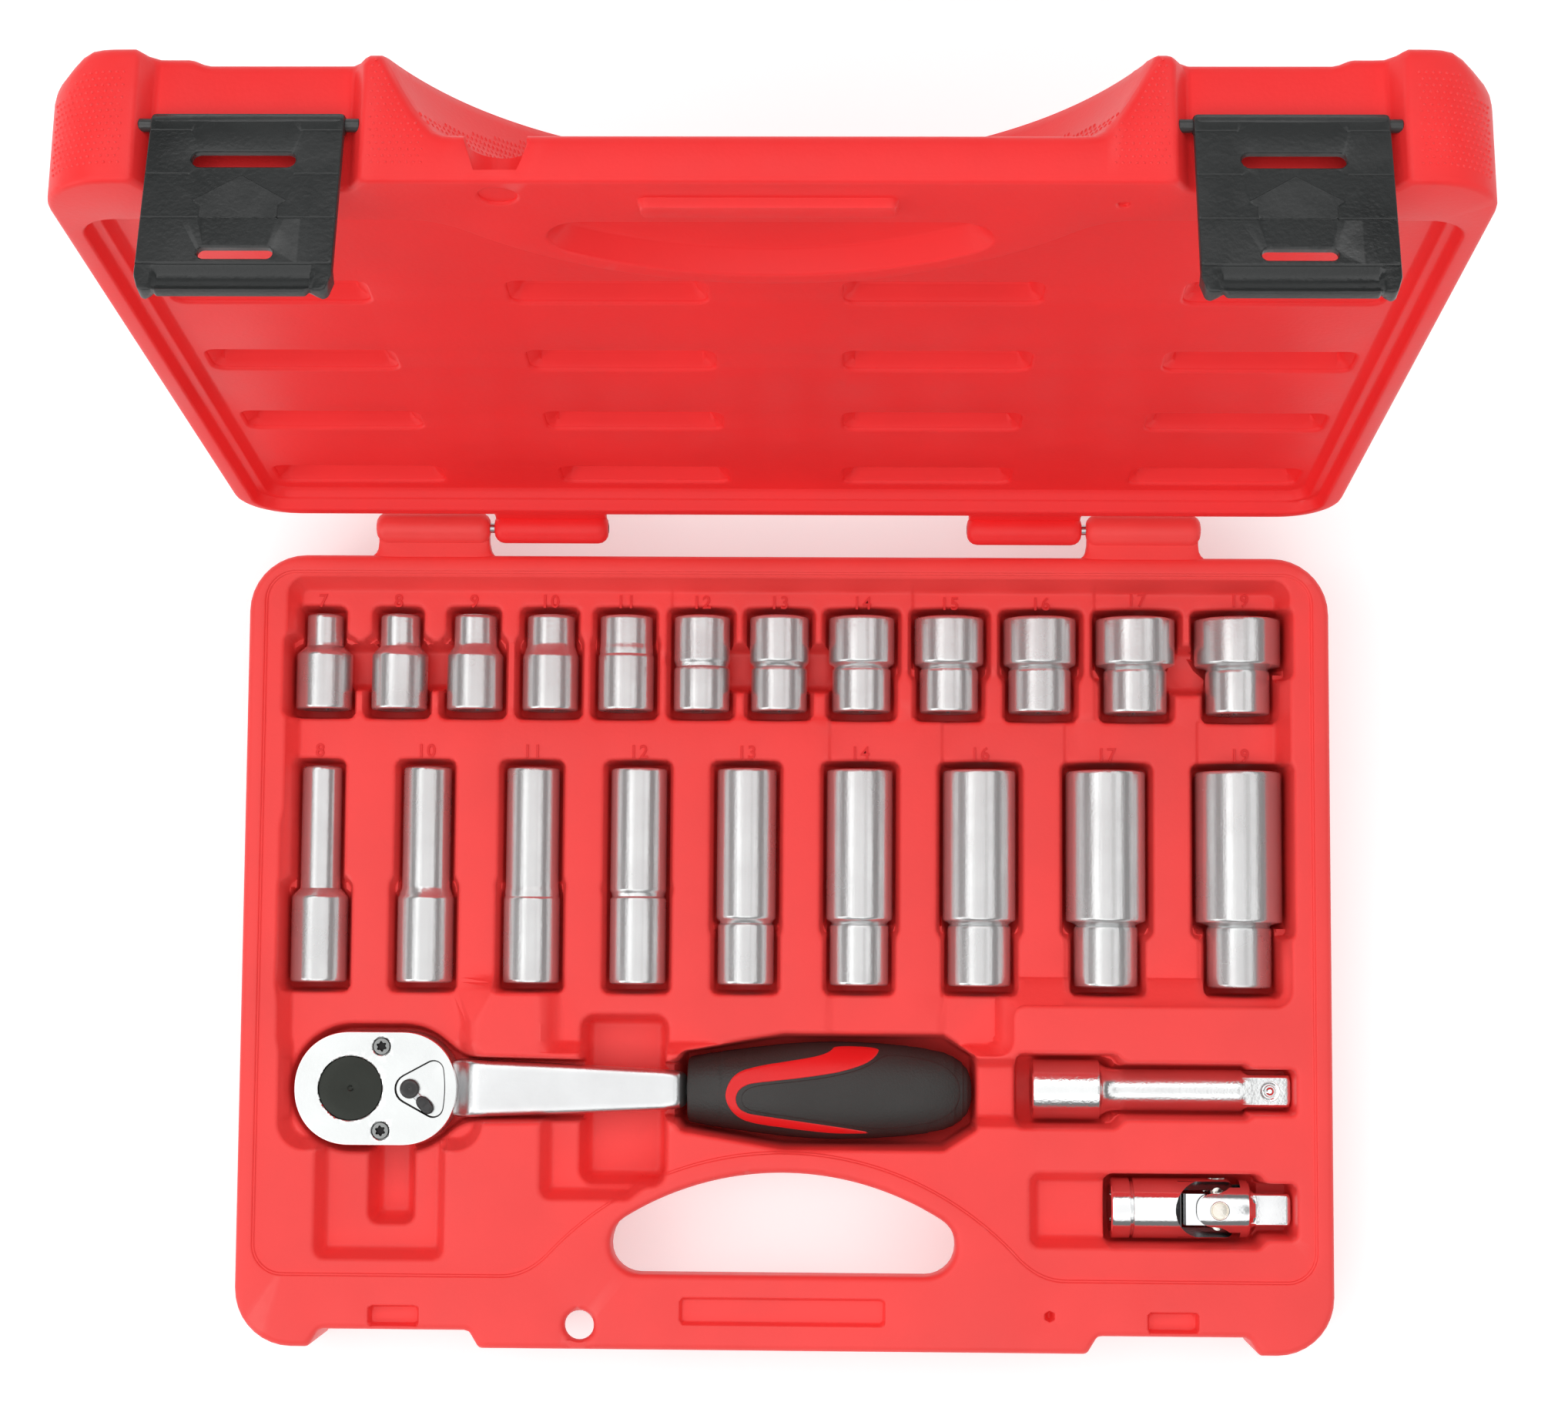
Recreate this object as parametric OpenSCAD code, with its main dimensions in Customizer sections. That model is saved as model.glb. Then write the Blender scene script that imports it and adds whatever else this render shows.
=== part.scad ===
// Three-eighths drive socket wrench set in a hinged, blow-moulded carrying case.
// Millimetres. The origin is the middle of the case's underside, +Z is up, the handle
// edge of the case faces -Y and the hinge runs along the +Y edge. The lid stands open.

/* [Case] */
// Width of the case, along the hinge
case_w = 325; // [320:1:400]
// Depth of the case, from the handle edge to the hinge edge
case_d = 236; // [232:1:290]
// Height of the base, from the table to its rim
base_h = 33; // [32:0.5:45]
// Height of the lid, from its rim to its outer face
lid_h = 33; // [24:0.5:45]
// Height of the corner feet that stand out of the lid's outer face
foot_h = 1.5; // [0.5:0.1:3]
// Thickness of the moulded walls
wall = 2; // [1.2:0.1:2.4]
// Radius of the four corners
corner_r = 17; // [10:1:24]
// Width of the flat rim round each half
rim_w = 5; // [3:0.5:8]
// Angle between the closed and the open lid
lid_open = 99.55; // [90:0.05:110]

/* [Handle] */
// Radius of the arc that bounds the handle opening
handle_r = 88.8; // [84:0.2:92]
// Radius of the two round ends of the opening
handle_end_r = 9; // [6:0.5:10]
// Distance from the front edge to the opening
grip_bar_w = 22; // [18:0.5:24]
// Thickness of each half's share of the carrying bar
grip_bar_h = 12; // [9:0.5:16]

/* [Hinges] */
// Distance of the hinge axis behind the case
hinge_off = 8.3; // [7:0.1:12]
// Depth of the hinge axis below the rim
hinge_drop = 1; // [0:0.1:3]
// Radius of the hinge knuckles
knuckle_r = 4.6; // [3.5:0.1:5]
// Radius of the steel hinge pins
pin_r = 1.5; // [1:0.1:2]
// Distance of each hinge's inner end from the middle
hinge_x0 = 54; // [40:1:70]
// Length of each knuckle
knuckle_l = 34.5; // [20:0.5:40]

/* [Latches] */
// Distance of each latch from the middle
latch_x = 115; // [110:1:125]
// Width of the latch plate
latch_w = 43; // [34:0.5:44]
// Thickness of the latch plate
latch_t = 2; // [1.5:0.1:2.4]
// Distance of the latch hinge above the lid's rim
latch_up = 14.5; // [10:0.5:18]
// Length of the latch below its hinge
latch_l = 44.5; // [42:0.5:45]
// Depth of the recess that each latch lies in
latch_recess = 5.2; // [5:0.1:6]
// Angle that the latch stands out from the wall at rest
latch_rest = 8; // [7:1:20]

/* [Sockets] */
// Sizes of the short sockets, across the hexagon's flats
short_sizes = [7, 8, 9, 10, 11, 12, 13, 14, 15, 16, 17, 19];
// Sizes of the deep sockets, across the hexagon's flats
deep_sizes = [8, 10, 11, 12, 13, 14, 16, 17, 19];
// Length of a short socket
short_l = 29; // [26:0.5:32]
// Length of a deep socket
deep_l = 65; // [55:0.5:68]
// Side of the square drive
drive_sq = 9.5; // [9.3:0.05:9.7]
// Depth of the square hole in a socket
drive_depth = 11.5; // [10:0.5:14]
// Outer diameter of the small sockets' drive end
collar_d = 17; // [16:0.5:18]

/* [Ratchet] */
// Width of the head
head_w = 33.6; // [32:0.2:36]
// Height of the head with its cover plate
head_h = 14; // [13:0.5:15]
// Distance between the two round ends of the head
head_run = 15.1; // [14:0.1:20]
// Length of the handle's steel shank outside the grip
shank_l = 69; // [50:1:72]
// Length of the grip
grip_l = 85; // [70:1:88]
// Width of the grip
grip_w = 30; // [24:0.5:31]
// Height of the grip
grip_h = 24; // [18:0.5:25]
// Number of teeth of the drive gear
gear_teeth = 36; // [36:36:72]

/* [Extension and universal joint] */
// Length of the extension bar
ext_l = 77; // [70:1:78]
// Diameter of the extension's socket end
ext_d = 18; // [17:0.5:19]
// Diameter of the extension's shank
ext_shank_d = 12.5; // [10:0.5:14]
// Diameter of the universal joint
uj_d = 18; // [17:0.5:18.5]
// Length of the universal joint
uj_l = 53.4; // [52:0.2:54]

/* [Fits] */
// Gap under a tool that lies in its pocket
seat_gap = 0.3; // [0.2:0.05:0.4]
// Gap beside a tool in its pocket
side_gap = 1; // [0.6:0.1:1.4]
// Radial clearance of a pin or shaft that turns
run_gap = 0.05; // [0.02:0.01:0.1]
// Gap between the two rims when the lid is shut
rim_gap = 0.3; // [0.2:0.05:0.6]

/* [Hidden] */
SHORT_NODES = ["socket_07", "socket_08", "socket_09", "socket_10", "socket_11", "socket_12",
    "socket_13", "socket_14", "socket_15", "socket_16", "socket_17", "socket_19"];
DEEP_NODES = ["deep_socket_08", "deep_socket_10", "deep_socket_11", "deep_socket_12",
    "deep_socket_13", "deep_socket_14", "deep_socket_16", "deep_socket_17", "deep_socket_19"];
$fn = 48;

RED = "#e8262b";
BLACK = "#25282a";
CHROME = "#c9cdd0";
STEEL = "#8d9296";

e = 0.5;                                  // overlap of cutting tools past a face
front = -case_d / 2;
back = case_d / 2;
foot_w = 34;

// Tray levels, as depths below the rim
band_drop = 1.2;
rim_front = 21;                           // width of the flat border along the handle edge
step_r = 9;                               // corner radius of the step inside the rim
tray_x = case_w / 2 - 12;                 // half-width of the socket area
tray_back = back - 7;
row1_land = [8, 8.6, 9.4, 10.2];          // lands of the short sockets, left to right
row1_edges = [-tray_x, -35, 38, 93, tray_x];
row2_land = [8, 8.8, 9.6, 10.4, 11.2];    // lands of the deep sockets, left to right
row2_edges = [-tray_x, 13, 47, 84, 124, tray_x];
row_split = back - 48.5;                  // line between the two rows of lands
tray_front = back - 133;                  // front edge of the socket area, right of the grip

// Sockets
function hex_od(s) = s <= 9 ? s + 4 : s <= 10 ? 14.5 : s <= 13 ? s + 5
    : s <= 16 ? s + 6 : s + 7;
function collar_od(s) = s <= 13 ? collar_d : s <= 15 ? collar_d + 0.8 : collar_d + s / 8;
function wide_od(s) = max(hex_od(s), collar_od(s));
function axis_drop(s) = 13 + max(0, wide_od(s) - 18) * 0.3;
function collar_len(s, deep) = deep ? (s <= 12 ? 26 : 18.2) : (s <= 11 ? 17.2 : 13.3);
function cone_len(s) = s <= 11 ? 2.6 : 1.6;
function sum(v, n) = n <= 0 ? 0 : v[n - 1] + sum(v, n - 1);
function row_x(sizes, i, edge) =
    let (w = [for (s = sizes) wide_od(s)],
         gap = (2 * tray_x - 2 * edge - sum(w, len(w))) / (len(w) - 1))
    -tray_x + edge + sum(w, i) + gap * i + w[i] / 2;
row_edge = 0.6;
short_y = back - 46.2;                    // drive end of the short sockets
deep_y = back - 128.7;                    // drive end of the deep sockets

// Ratchet, lying with its lever side up
ratchet_y = front + 75.8;
head_x = -case_w / 2 + 33;                // axis of the drive gear
head_top = base_h - 3;
cover_t = 2.5;
head_floor = head_top - head_h;
gear_r = 12;
gear_root_r = 11.2;
gear_lift = 2.2;                          // floor of the gear's chamber above the head's face
gear_top_r = 9.5;
gear_low_r = 8.6;
drive_l = 11;
lever_x = head_x + 17.8;
lever_shaft_r = 2.4;
lever_sunk = 1.1;                         // depth of the three-cornered recess in the cover
lever_reach = 6.7;
lever_rest = 43;                          // the lever swings this far to both sides
recess_r0 = 4.6;
recess_r1 = 3;
recess_corner = [7.7, 5.3];
pawl_swing = 7.5;
pawl_z0 = head_floor + gear_lift + 0.5;
pawl_t = 6;
screw_x = head_x + 9.2;
screw_y = 12.5;
shank_x = head_x + 31.5;
shank_end = shank_x + shank_l;
shank_z = head_floor + head_h / 2 - 0.5;
shank_hw = [7.8, 5.4];
shank_t = [10, 8.5];
tang_r = 5;
tang_l = 62;
grip_z = base_h - 15.2;

// Extension and universal joint, lying along X
ext_y = front + 76.8;
ext_x = case_w / 2 - 11.6 - ext_l;
ext_z = base_h - 12.2;
ext_collar_l = 20.3;
ext_cone_l = 4.6;
ext_drive_l = 12.2;
uj_y = front + 41.8;
uj_x = case_w / 2 - 11.8 - uj_l;
uj_z = base_h - 12.4;
uj_c = uj_x + 32;                         // crossing point of the two pins
uj_r = uj_d / 2;
uj_arm = 4.2;                             // reach of each fork past the crossing
uj_gap = 5.5;                             // half-width of each fork's slot
uj_hw = 4.7;                              // half-width of each fork arm
uj_slot_a = 10.8;                         // depth of the socket side's slot from the crossing
uj_slot_b = 7.4;                          // depth of the drive side's slot from the crossing
uj_pin_r = 2.6;
uj_block = 5;
uj_drive_l = 12;

// Spring balls in the square drives
ball_r = 1.6;
ball_out = 0.7;
ball_travel = 0.75;
spring_r = 1.1;
wire_r = 0.25;

// Hinge and latch axes with the lid shut
hinge_y = back + hinge_off;
hinge_z = base_h - hinge_drop;
lid_rim = base_h + rim_gap;
latch_z = lid_rim + latch_up;
latch_barrel_r = 2.5;
latch_y = front + latch_recess - latch_barrel_r - 0.3;
trunnion_r = 1.5;
recess_hw = latch_w / 2 + 0.6;            // half-width of the recess at its floor
recess_flare = 3.2;                       // how much wider it is at the front face
slot_y = 34;                              // lower latch slot below the latch hinge
slot_h = 2.8;
slot_w = 16.5;
catch_w = 14.5;
catch_t = 1.6;
hang_x = -60;
hang_y = front + 7;
hang_r = 4.3;
hang_notch_r = 7;
arc_y = front - 36.8;                     // centre of the handle's arcs
arc_edge = 94.8;                          // outer radius of the scooped handle zone
// Slope of the scoop outside the bar: radius, and share of the full hollow
scoop_slope = [[90.8, 0.38], [87.1, 0.71], [83.5, 0.94], [78, 1]];

// ---------------------------------------------------------------- shared shapes
module rounded_rect(w, d, r) {
    square([w, d - 2 * r], center = true);
    square([w - 2 * r, d], center = true);
    for (sx = [-1, 1], sy = [-1, 1])
        translate([sx * (w / 2 - r), sy * (d / 2 - r)]) circle(r);
}

// Plan of the recess that a latch lies in, grown by g
module latch_notch(g) {
    polygon([[-recess_hw - recess_flare - g, front - e], [-recess_hw - recess_flare - g, front],
        [-recess_hw - g, front + latch_recess + g], [recess_hw + g, front + latch_recess + g],
        [recess_hw + recess_flare + g, front], [recess_hw + recess_flare + g, front - e]]);
}

// Plan of one half of the case, shrunk by g
module case_plan(g) {
    difference() {
        rounded_rect(case_w - 2 * g, case_d - 2 * g, corner_r - g);
        for (s = [-1, 1]) translate([s * latch_x, 0]) latch_notch(g);
    }
}

function arc_points(c, r, a0, a1, n) = [for (i = [0 : n])
    let (a = a0 + (a1 - a0) * i / n) c + r * [cos(a), sin(a)]];

// Plan of the handle opening: an arc above, a straight bar below and two round ends
module handle_plan() {
    run = handle_r - handle_end_r;
    cy = front + grip_bar_w + handle_end_r - arc_y;
    cx = sqrt(run * run - cy * cy);
    a = atan2(cy, cx);
    step = (90 + a) / 8;
    translate([0, arc_y]) polygon(concat(
        arc_points([0, 0], handle_r, a, 180 - a, 20),
        arc_points([-cx, cy], handle_end_r, 180 - a + step, 270, 7),
        arc_points([cx, cy], handle_end_r, 270, 360 + a - step, 7)));
}

// Space outside the carrying bar, for a half whose outer face is at height foot and rim at h
module handle_scoop(h, foot) {
    bar = h - grip_bar_h;
    translate([0, arc_y, 0]) rotate_extrude($fn = 96)
        polygon(concat([[0, -e], [arc_edge, -e], [arc_edge, foot]],
            [for (p = scoop_slope) [p[0], bar * p[1]]], [[0, bar]]));
}

// Round notch in the front wall, behind the thin flange that the hang hole goes through
module hang_notch(z0, z1) {
    translate([hang_x, hang_y, z0]) cylinder(r = hang_notch_r, h = z1 - z0);
    span([hang_x - hang_notch_r, front - e, z0], [hang_x + hang_notch_r, hang_y, z1]);
}

// One half of the case as a closed block, rim at h, outer face at foot, and corner feet
// that reach down to 0
module case_block(h, foot) {
    difference() {
        union() {
            translate([0, 0, foot]) linear_extrude(h - foot) case_plan(0);
            if (foot > 0) for (sx = [-1, 1], sy = [-1, 1]) intersection() {
                linear_extrude(foot + e) rounded_rect(case_w, case_d, corner_r);
                translate([sx * (case_w - foot_w) / 2 - foot_w / 2,
                    sy * (case_d - foot_w) / 2 - foot_w / 2, 0]) cube([foot_w, foot_w, foot + e]);
            }
        }
        for (s = [-1, 1]) translate([s * latch_x, 0, -e]) linear_extrude(foot + 2 * e)
            latch_notch(0);
        handle_scoop(h, foot);
    }
}

module x_cyl(r, l) {
    rotate([0, 90, 0]) cylinder(r = r, h = l);
}

module y_cyl(r, l) {
    rotate([-90, 0, 0]) cylinder(r = r, h = l);
}

// A box from corner to corner
module span(a, b) {
    translate(a) cube(b - a);
}

// Pocket for a round tool that lies along Y: open above the axis, cradled below it
module cradle_y(x, z, r, y0, y1) {
    span([x - r - side_gap, y0, z], [x + r + side_gap, y1, base_h + e]);
    translate([x, y0, z]) y_cyl(r + seat_gap, y1 - y0);
}

module cradle_x(y, z, r, x0, x1) {
    span([x0, y - r - side_gap, z], [x1, y + r + side_gap, base_h + e]);
    translate([x0, y, z]) x_cyl(r + seat_gap, x1 - x0);
}

// Ball on a short coil in a square drive: the hole, the ball and its coil, along +Z
module ball_hole(sq) {
    translate([0, 0, sq / 2 - 5.4]) cylinder(r = ball_r + run_gap, h = 6);
}

module ball(sq) {
    translate([0, 0, sq / 2 + ball_out - ball_r]) sphere(ball_r);
}

module ball_spring(sq) {
    bottom = sq / 2 - 5.4;
    top = sq / 2 + ball_out - 2 * ball_r - ball_travel;
    turns = 3;
    for (i = [0 : turns - 1])
        translate([0, 0, bottom + wire_r + i * (top - bottom - 2 * wire_r) / (turns - 1)])
            rotate_extrude() translate([spring_r, 0]) circle(wire_r, $fn = 16);
}

// ---------------------------------------------------------------- case base
module socket_pocket(s, x, y, l, deep) {
    z = base_h - axis_drop(s);
    c = collar_len(s, deep) + cone_len(s);
    shoulder = hex_od(s) > collar_od(s) ? collar_len(s, deep) - 1.5 : c + 0.5;
    cradle_y(x, z, collar_od(s) / 2, y - 2, y + shoulder);
    cradle_y(x, z, hex_od(s) / 2, y + shoulder - e, y + l + 1.5);
}

module tray_lands() {
    for (i = [0 : len(row1_land) - 1])
        span([row1_edges[i], row_split, base_h - row1_land[i]],
            [row1_edges[i + 1], tray_back, base_h + e]);
    for (i = [0 : len(row2_land) - 1])
        span([row2_edges[i], tray_front, base_h - row2_land[i]],
            [row2_edges[i + 1], row_split + e, base_h + e]);
    span([-tray_x, ratchet_y + 8, base_h - row2_land[0]], [61, tray_front + e, base_h + e]);
}

module pad_post() {
    span([-93, ratchet_y + 12, 0], [-72, tray_front + 1, base_h - band_drop]);
}

module ratchet_pocket() {
    grow = side_gap;
    floor_z = head_floor - seat_gap;
    translate([head_x, ratchet_y, floor_z]) linear_extrude(base_h)
        head_plan(head_w / 2 + grow);
    translate([head_x, ratchet_y, floor_z - drive_l - 0.6]) cylinder(r = 8.4, h = drive_l + 2);
    translate([0, ratchet_y, shank_z - shank_t[0] / 2 - seat_gap]) linear_extrude(base_h)
        polygon([[head_x + head_run, -shank_hw[0] - grow], [shank_x, -shank_hw[0] - grow],
            [shank_end + 2, -shank_hw[1] - grow - 1], [shank_end + 2, shank_hw[1] + grow + 1],
            [shank_x, shank_hw[0] + grow], [head_x + head_run, shank_hw[0] + grow]]);
    grip_hw = grip_w / 2 + grow;
    translate([0, ratchet_y, grip_z - grip_h / 2 - seat_gap]) linear_extrude(base_h)
        polygon([[shank_end - 1, -10 - grow], [shank_end + 30, -grip_hw],
            [shank_end + grip_l - 8, -grip_hw], [shank_end + grip_l + 1.4, -10.5],
            [shank_end + grip_l + 1.4, 10.5], [shank_end + grip_l - 8, grip_hw],
            [shank_end + 30, grip_hw], [shank_end - 1, 10 + grow]]);
}

// Finger recesses beside the head and the shank
module finger_recesses() {
    span([head_x - 9.5, front + 26, base_h - 9], [head_x + 28, ratchet_y, base_h + e]);
    span([head_x + 6, front + 36, base_h - 19], [head_x + 18, ratchet_y, base_h]);
    span([-73, front + 48, base_h - 9], [-35, ratchet_y, base_h + e]);
    span([-60, front + 48, base_h - 20], [-36, ratchet_y + 21, base_h + e]);
}

module small_tool_pockets() {
    cradle_x(ext_y, ext_z, ext_d / 2, ext_x - 4, ext_x + ext_collar_l + ext_cone_l + 1);
    cradle_x(ext_y, ext_z, ext_shank_d / 2, ext_x + ext_collar_l, ext_x + ext_l + 1);
    hw = drive_sq / 2 + side_gap;
    span([ext_x + ext_l - ext_drive_l - 1, ext_y - hw, ext_z - drive_sq / 2 - seat_gap],
        [ext_x + ext_l + 1, ext_y + hw, base_h + e]);
    span([shank_end + grip_l, ext_y - 9, base_h - 9], [ext_x, ext_y + 9, base_h + e]);
    cradle_x(uj_y, uj_z, uj_r, uj_x - 1, uj_c + 11.8);
    span([uj_c - 12, uj_y - uj_r - side_gap, uj_z - uj_r - 2.4],
        [uj_c + 11.8, uj_y + uj_r + side_gap, base_h]);
    span([uj_c + 11, uj_y - 7.4, uj_z - 7], [uj_x + uj_l + 1.2, uj_y + 7.4, base_h + e]);
    span([uj_x - 23, uj_y - 10, base_h - 9], [uj_x, uj_y + 10, base_h + e]);
}

module thumb_channels() {
    z = base_h - 19;
    xs = [for (i = [0 : len(short_sizes) - 1]) row_x(short_sizes, i, row_edge)];
    for (p = [[0, 2], [5, 7], [10, 11]])
        span([xs[p[0]], short_y + 6.5, z], [xs[p[1]], short_y + 20, base_h]);
}

// Space inside the double wall: the block inset by the wall, less the walls of the pockets
module base_void() {
    difference() {
        translate([0, 0, wall])
            linear_extrude(base_h - band_drop - 2 * wall) case_plan(wall + 0.2);
        translate([0, arc_y, 0]) cylinder(r = arc_edge + wall, h = base_h, $fn = 96);
        span([-tray_x - wall, row_split, base_h - row1_land[3] - wall],
            [tray_x + wall, tray_back + wall, base_h]);
        span([-tray_x - wall, ratchet_y, base_h - row2_land[4] - wall],
            [tray_x + wall, row_split + 1, base_h]);
        for (i = [0 : len(short_sizes) - 1]) void_stop(short_sizes[i], short_y - 2 - wall,
            short_y + short_l + 4 + wall, row_x(short_sizes, i, row_edge));
        for (i = [0 : len(deep_sizes) - 1]) void_stop(deep_sizes[i], deep_y - 2 - wall,
            deep_y + deep_l + 2 + wall, row_x(deep_sizes, i, row_edge));
        span([-case_w / 2, front + 26 - wall, 0],
            [case_w / 2, ratchet_y + head_w / 2 + side_gap + wall, base_h]);
        for (s = [-1, 1]) span([s * latch_x - recess_hw - 8, front, 0],
            [s * latch_x + recess_hw + 8, front + 16, base_h]);
    }
}

module void_stop(s, y0, y1, x) {
    r = wide_od(s) / 2 + side_gap + wall;
    span([x - r, y0, base_h - axis_drop(s) - r], [x + r, y1, base_h]);
}

// Knuckles of one half, along X, with their webs; up is +1 on the lid and -1 on the base
module knuckle(x0, up, web_h) {
    rim = up > 0 ? lid_rim : base_h;
    difference() {
        union() {
            translate([x0, hinge_y, hinge_z]) x_cyl(knuckle_r, knuckle_l);
            span([x0, back - 1, up > 0 ? rim : rim - web_h],
                [x0 + knuckle_l, hinge_y, up > 0 ? rim + web_h : rim - hinge_drop]);
        }
        translate([x0 - e, hinge_y, hinge_z]) x_cyl(pin_r + run_gap, knuckle_l + 2 * e);
    }
}

knuckle_gap = 1.2;
outer_x = hinge_x0 + knuckle_l + knuckle_gap;

// Space inside the rim, from z0 to z1, leaving the handle zone standing
module rim_step(z0, z1) {
    difference() {
        translate([0, (rim_front - rim_w) / 2, z0]) linear_extrude(z1 - z0)
            rounded_rect(case_w - 2 * rim_w, case_d - rim_front - rim_w, step_r);
        translate([0, arc_y, z0 - e]) cylinder(r = arc_edge, h = z1 - z0 + 2 * e, $fn = 96);
    }
}

module case_base() {
    color(RED) difference() {
        union() {
            difference() {
                case_block(base_h, 0);
                // rim step, tray and pockets
                rim_step(base_h - band_drop, base_h + e);
                difference() {
                    tray_lands();
                    pad_post();
                }
                for (i = [0 : len(short_sizes) - 1]) socket_pocket(short_sizes[i],
                    row_x(short_sizes, i, row_edge), short_y, short_l, false);
                for (i = [0 : len(deep_sizes) - 1]) socket_pocket(deep_sizes[i],
                    row_x(deep_sizes, i, row_edge), deep_y, deep_l, true);
                thumb_channels();
                ratchet_pocket();
                finger_recesses();
                small_tool_pockets();
            }
            knuckle(outer_x, -1, 12);
            mirror([1, 0, 0]) knuckle(outer_x, -1, 12);
            for (s = [-1, 1]) translate([s * latch_x, 0, 0]) catch_rib();
        }
        translate([0, 0, -e]) linear_extrude(base_h + 2 * e) handle_plan();
        span([-30.3, front + 7.6, base_h - 2.5], [30.3, front + 15.5, base_h + e]);
        translate([hang_x, hang_y, -e]) cylinder(r = hang_r, h = base_h + 2 * e);
        hang_notch(-e, base_h - 2.5);
        for (s = [-1, 1]) span([s * latch_x - 7.5, front + 6.5, base_h - 4],
            [s * latch_x + 7.5, front + 12.5, base_h + e]);
        base_void();
    }
}

// Rib on the base's front wall that the latch's lower slot snaps over
module catch_rib() {
    span([-catch_w / 2, front + 1, latch_z - slot_y - catch_t / 2],
        [catch_w / 2, front + latch_recess + e, latch_z - slot_y + catch_t / 2]);
}

module hinge_pin(s) {
    color(STEEL) translate([s > 0 ? hinge_x0 : -outer_x - knuckle_l, hinge_y, hinge_z])
        x_cyl(pin_r, outer_x + knuckle_l - hinge_x0);
}

// ---------------------------------------------------------------- lid
module lid_place() {
    translate([0, hinge_y, hinge_z]) rotate([-lid_open, 0, 0])
        translate([0, -hinge_y, -hinge_z]) children();
}

// Sunk panel inside the lid, with four by four grooves that stiffen it
panel_drop = 6;
kiss_x = [-125, -41.3, 41.3, 125];
kiss_y = [77.8, 123.8, 169.8, 215.8];     // from the front edge
kiss_half = [24.5, 7];
kiss_drop = 10.5;                         // depth of a groove below the rim
rib_drop = 2.2;                           // rib on the lid that enters the base's flange slot

module lid_flip() {
    translate([0, 0, lid_rim + lid_h]) mirror([0, 0, 1]) children();
}

module case_lid() {
    color(RED) lid_place() difference() {
        union() {
            difference() {
                lid_flip() case_block(lid_h, foot_h);
                rim_step(lid_rim - e, lid_rim + panel_drop);
                kiss_grooves(0);
                lid_void();
            }
            span([-29, front + 8.2, lid_rim - rib_drop], [29, front + 14.9, lid_rim + e]);
            knuckle(hinge_x0, 1, 10);
            mirror([1, 0, 0]) knuckle(hinge_x0, 1, 10);
        }
        translate([0, 0, lid_rim - e]) linear_extrude(9 + e) handle_plan();
        translate([hang_x, hang_y, lid_rim - e]) cylinder(r = hang_r, h = 1.6 + e);
        hang_notch(lid_rim + 2.8, lid_rim + lid_h + e);
        for (s = [-1, 1]) translate([s * latch_x - recess_hw - 5.4, latch_y, latch_z])
            x_cyl(trunnion_r + run_gap, 2 * recess_hw + 10.8);
    }
}

// The grooves in the lid's panel, widened by grow on every side
module kiss_grooves(grow) {
    h = kiss_half + [grow, grow];
    for (x = kiss_x, y = kiss_y) span([x - h[0], front + y - h[1], lid_rim - e],
        [x + h[0], front + y + h[1], lid_rim + kiss_drop + grow]);
}

module lid_void() {
    z0 = lid_rim + panel_drop + wall;
    difference() {
        translate([0, 0, z0])
            linear_extrude(lid_rim + lid_h - foot_h - wall - z0) case_plan(wall + 0.2);
        translate([0, arc_y, 0])
            cylinder(r = arc_edge + wall, h = base_h + lid_h + 4, $fn = 96);
        kiss_grooves(wall);
        for (s = [-1, 1]) span([s * latch_x - recess_hw - 8, front, 0],
            [s * latch_x + recess_hw + 8, front + 16, base_h + lid_h + 4]);
    }
}

// ---------------------------------------------------------------- latches
module latch_slot(w, h, down) {
    hull() for (s = [-1, 1]) translate([s * (w - h) / 2, e, -down]) rotate([90, 0, 0])
        cylinder(r = h / 2, h = 6);
}

// The latch in its own frame: hinge axis on X, hanging down, outer side towards -Y
module latch() {
    half = latch_w / 2;
    outer = latch_barrel_r;
    difference() {
        union() {
            translate([-half, 0, 0]) x_cyl(latch_barrel_r, latch_w);
            translate([-half - 3.4, 0, 0]) x_cyl(trunnion_r, latch_w + 6.8);
            span([-half, -outer, -latch_l + 1.2], [half, -outer + latch_t, 0]);
            // curled finger lip with a foot at each side
            for (s = [-1, 1]) span([s * half - (s > 0 ? 4 : 0), -outer, -latch_l + 1],
                [s * half + (s > 0 ? 0 : 4), 1.6, -latch_l + 6]);
            span([-half + 5, -outer - 1.6, -latch_l], [half - 5, -outer + latch_t, -latch_l + 1.6]);
        }
        latch_slot(23, 3.8, latch_up - 4.2);
        latch_slot(slot_w, slot_h, slot_y);
    }
}

module latch_at(s) {
    color(BLACK) lid_place() translate([s * latch_x, latch_y, latch_z])
        rotate([-latch_rest, 0, 0]) latch();
}

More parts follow.
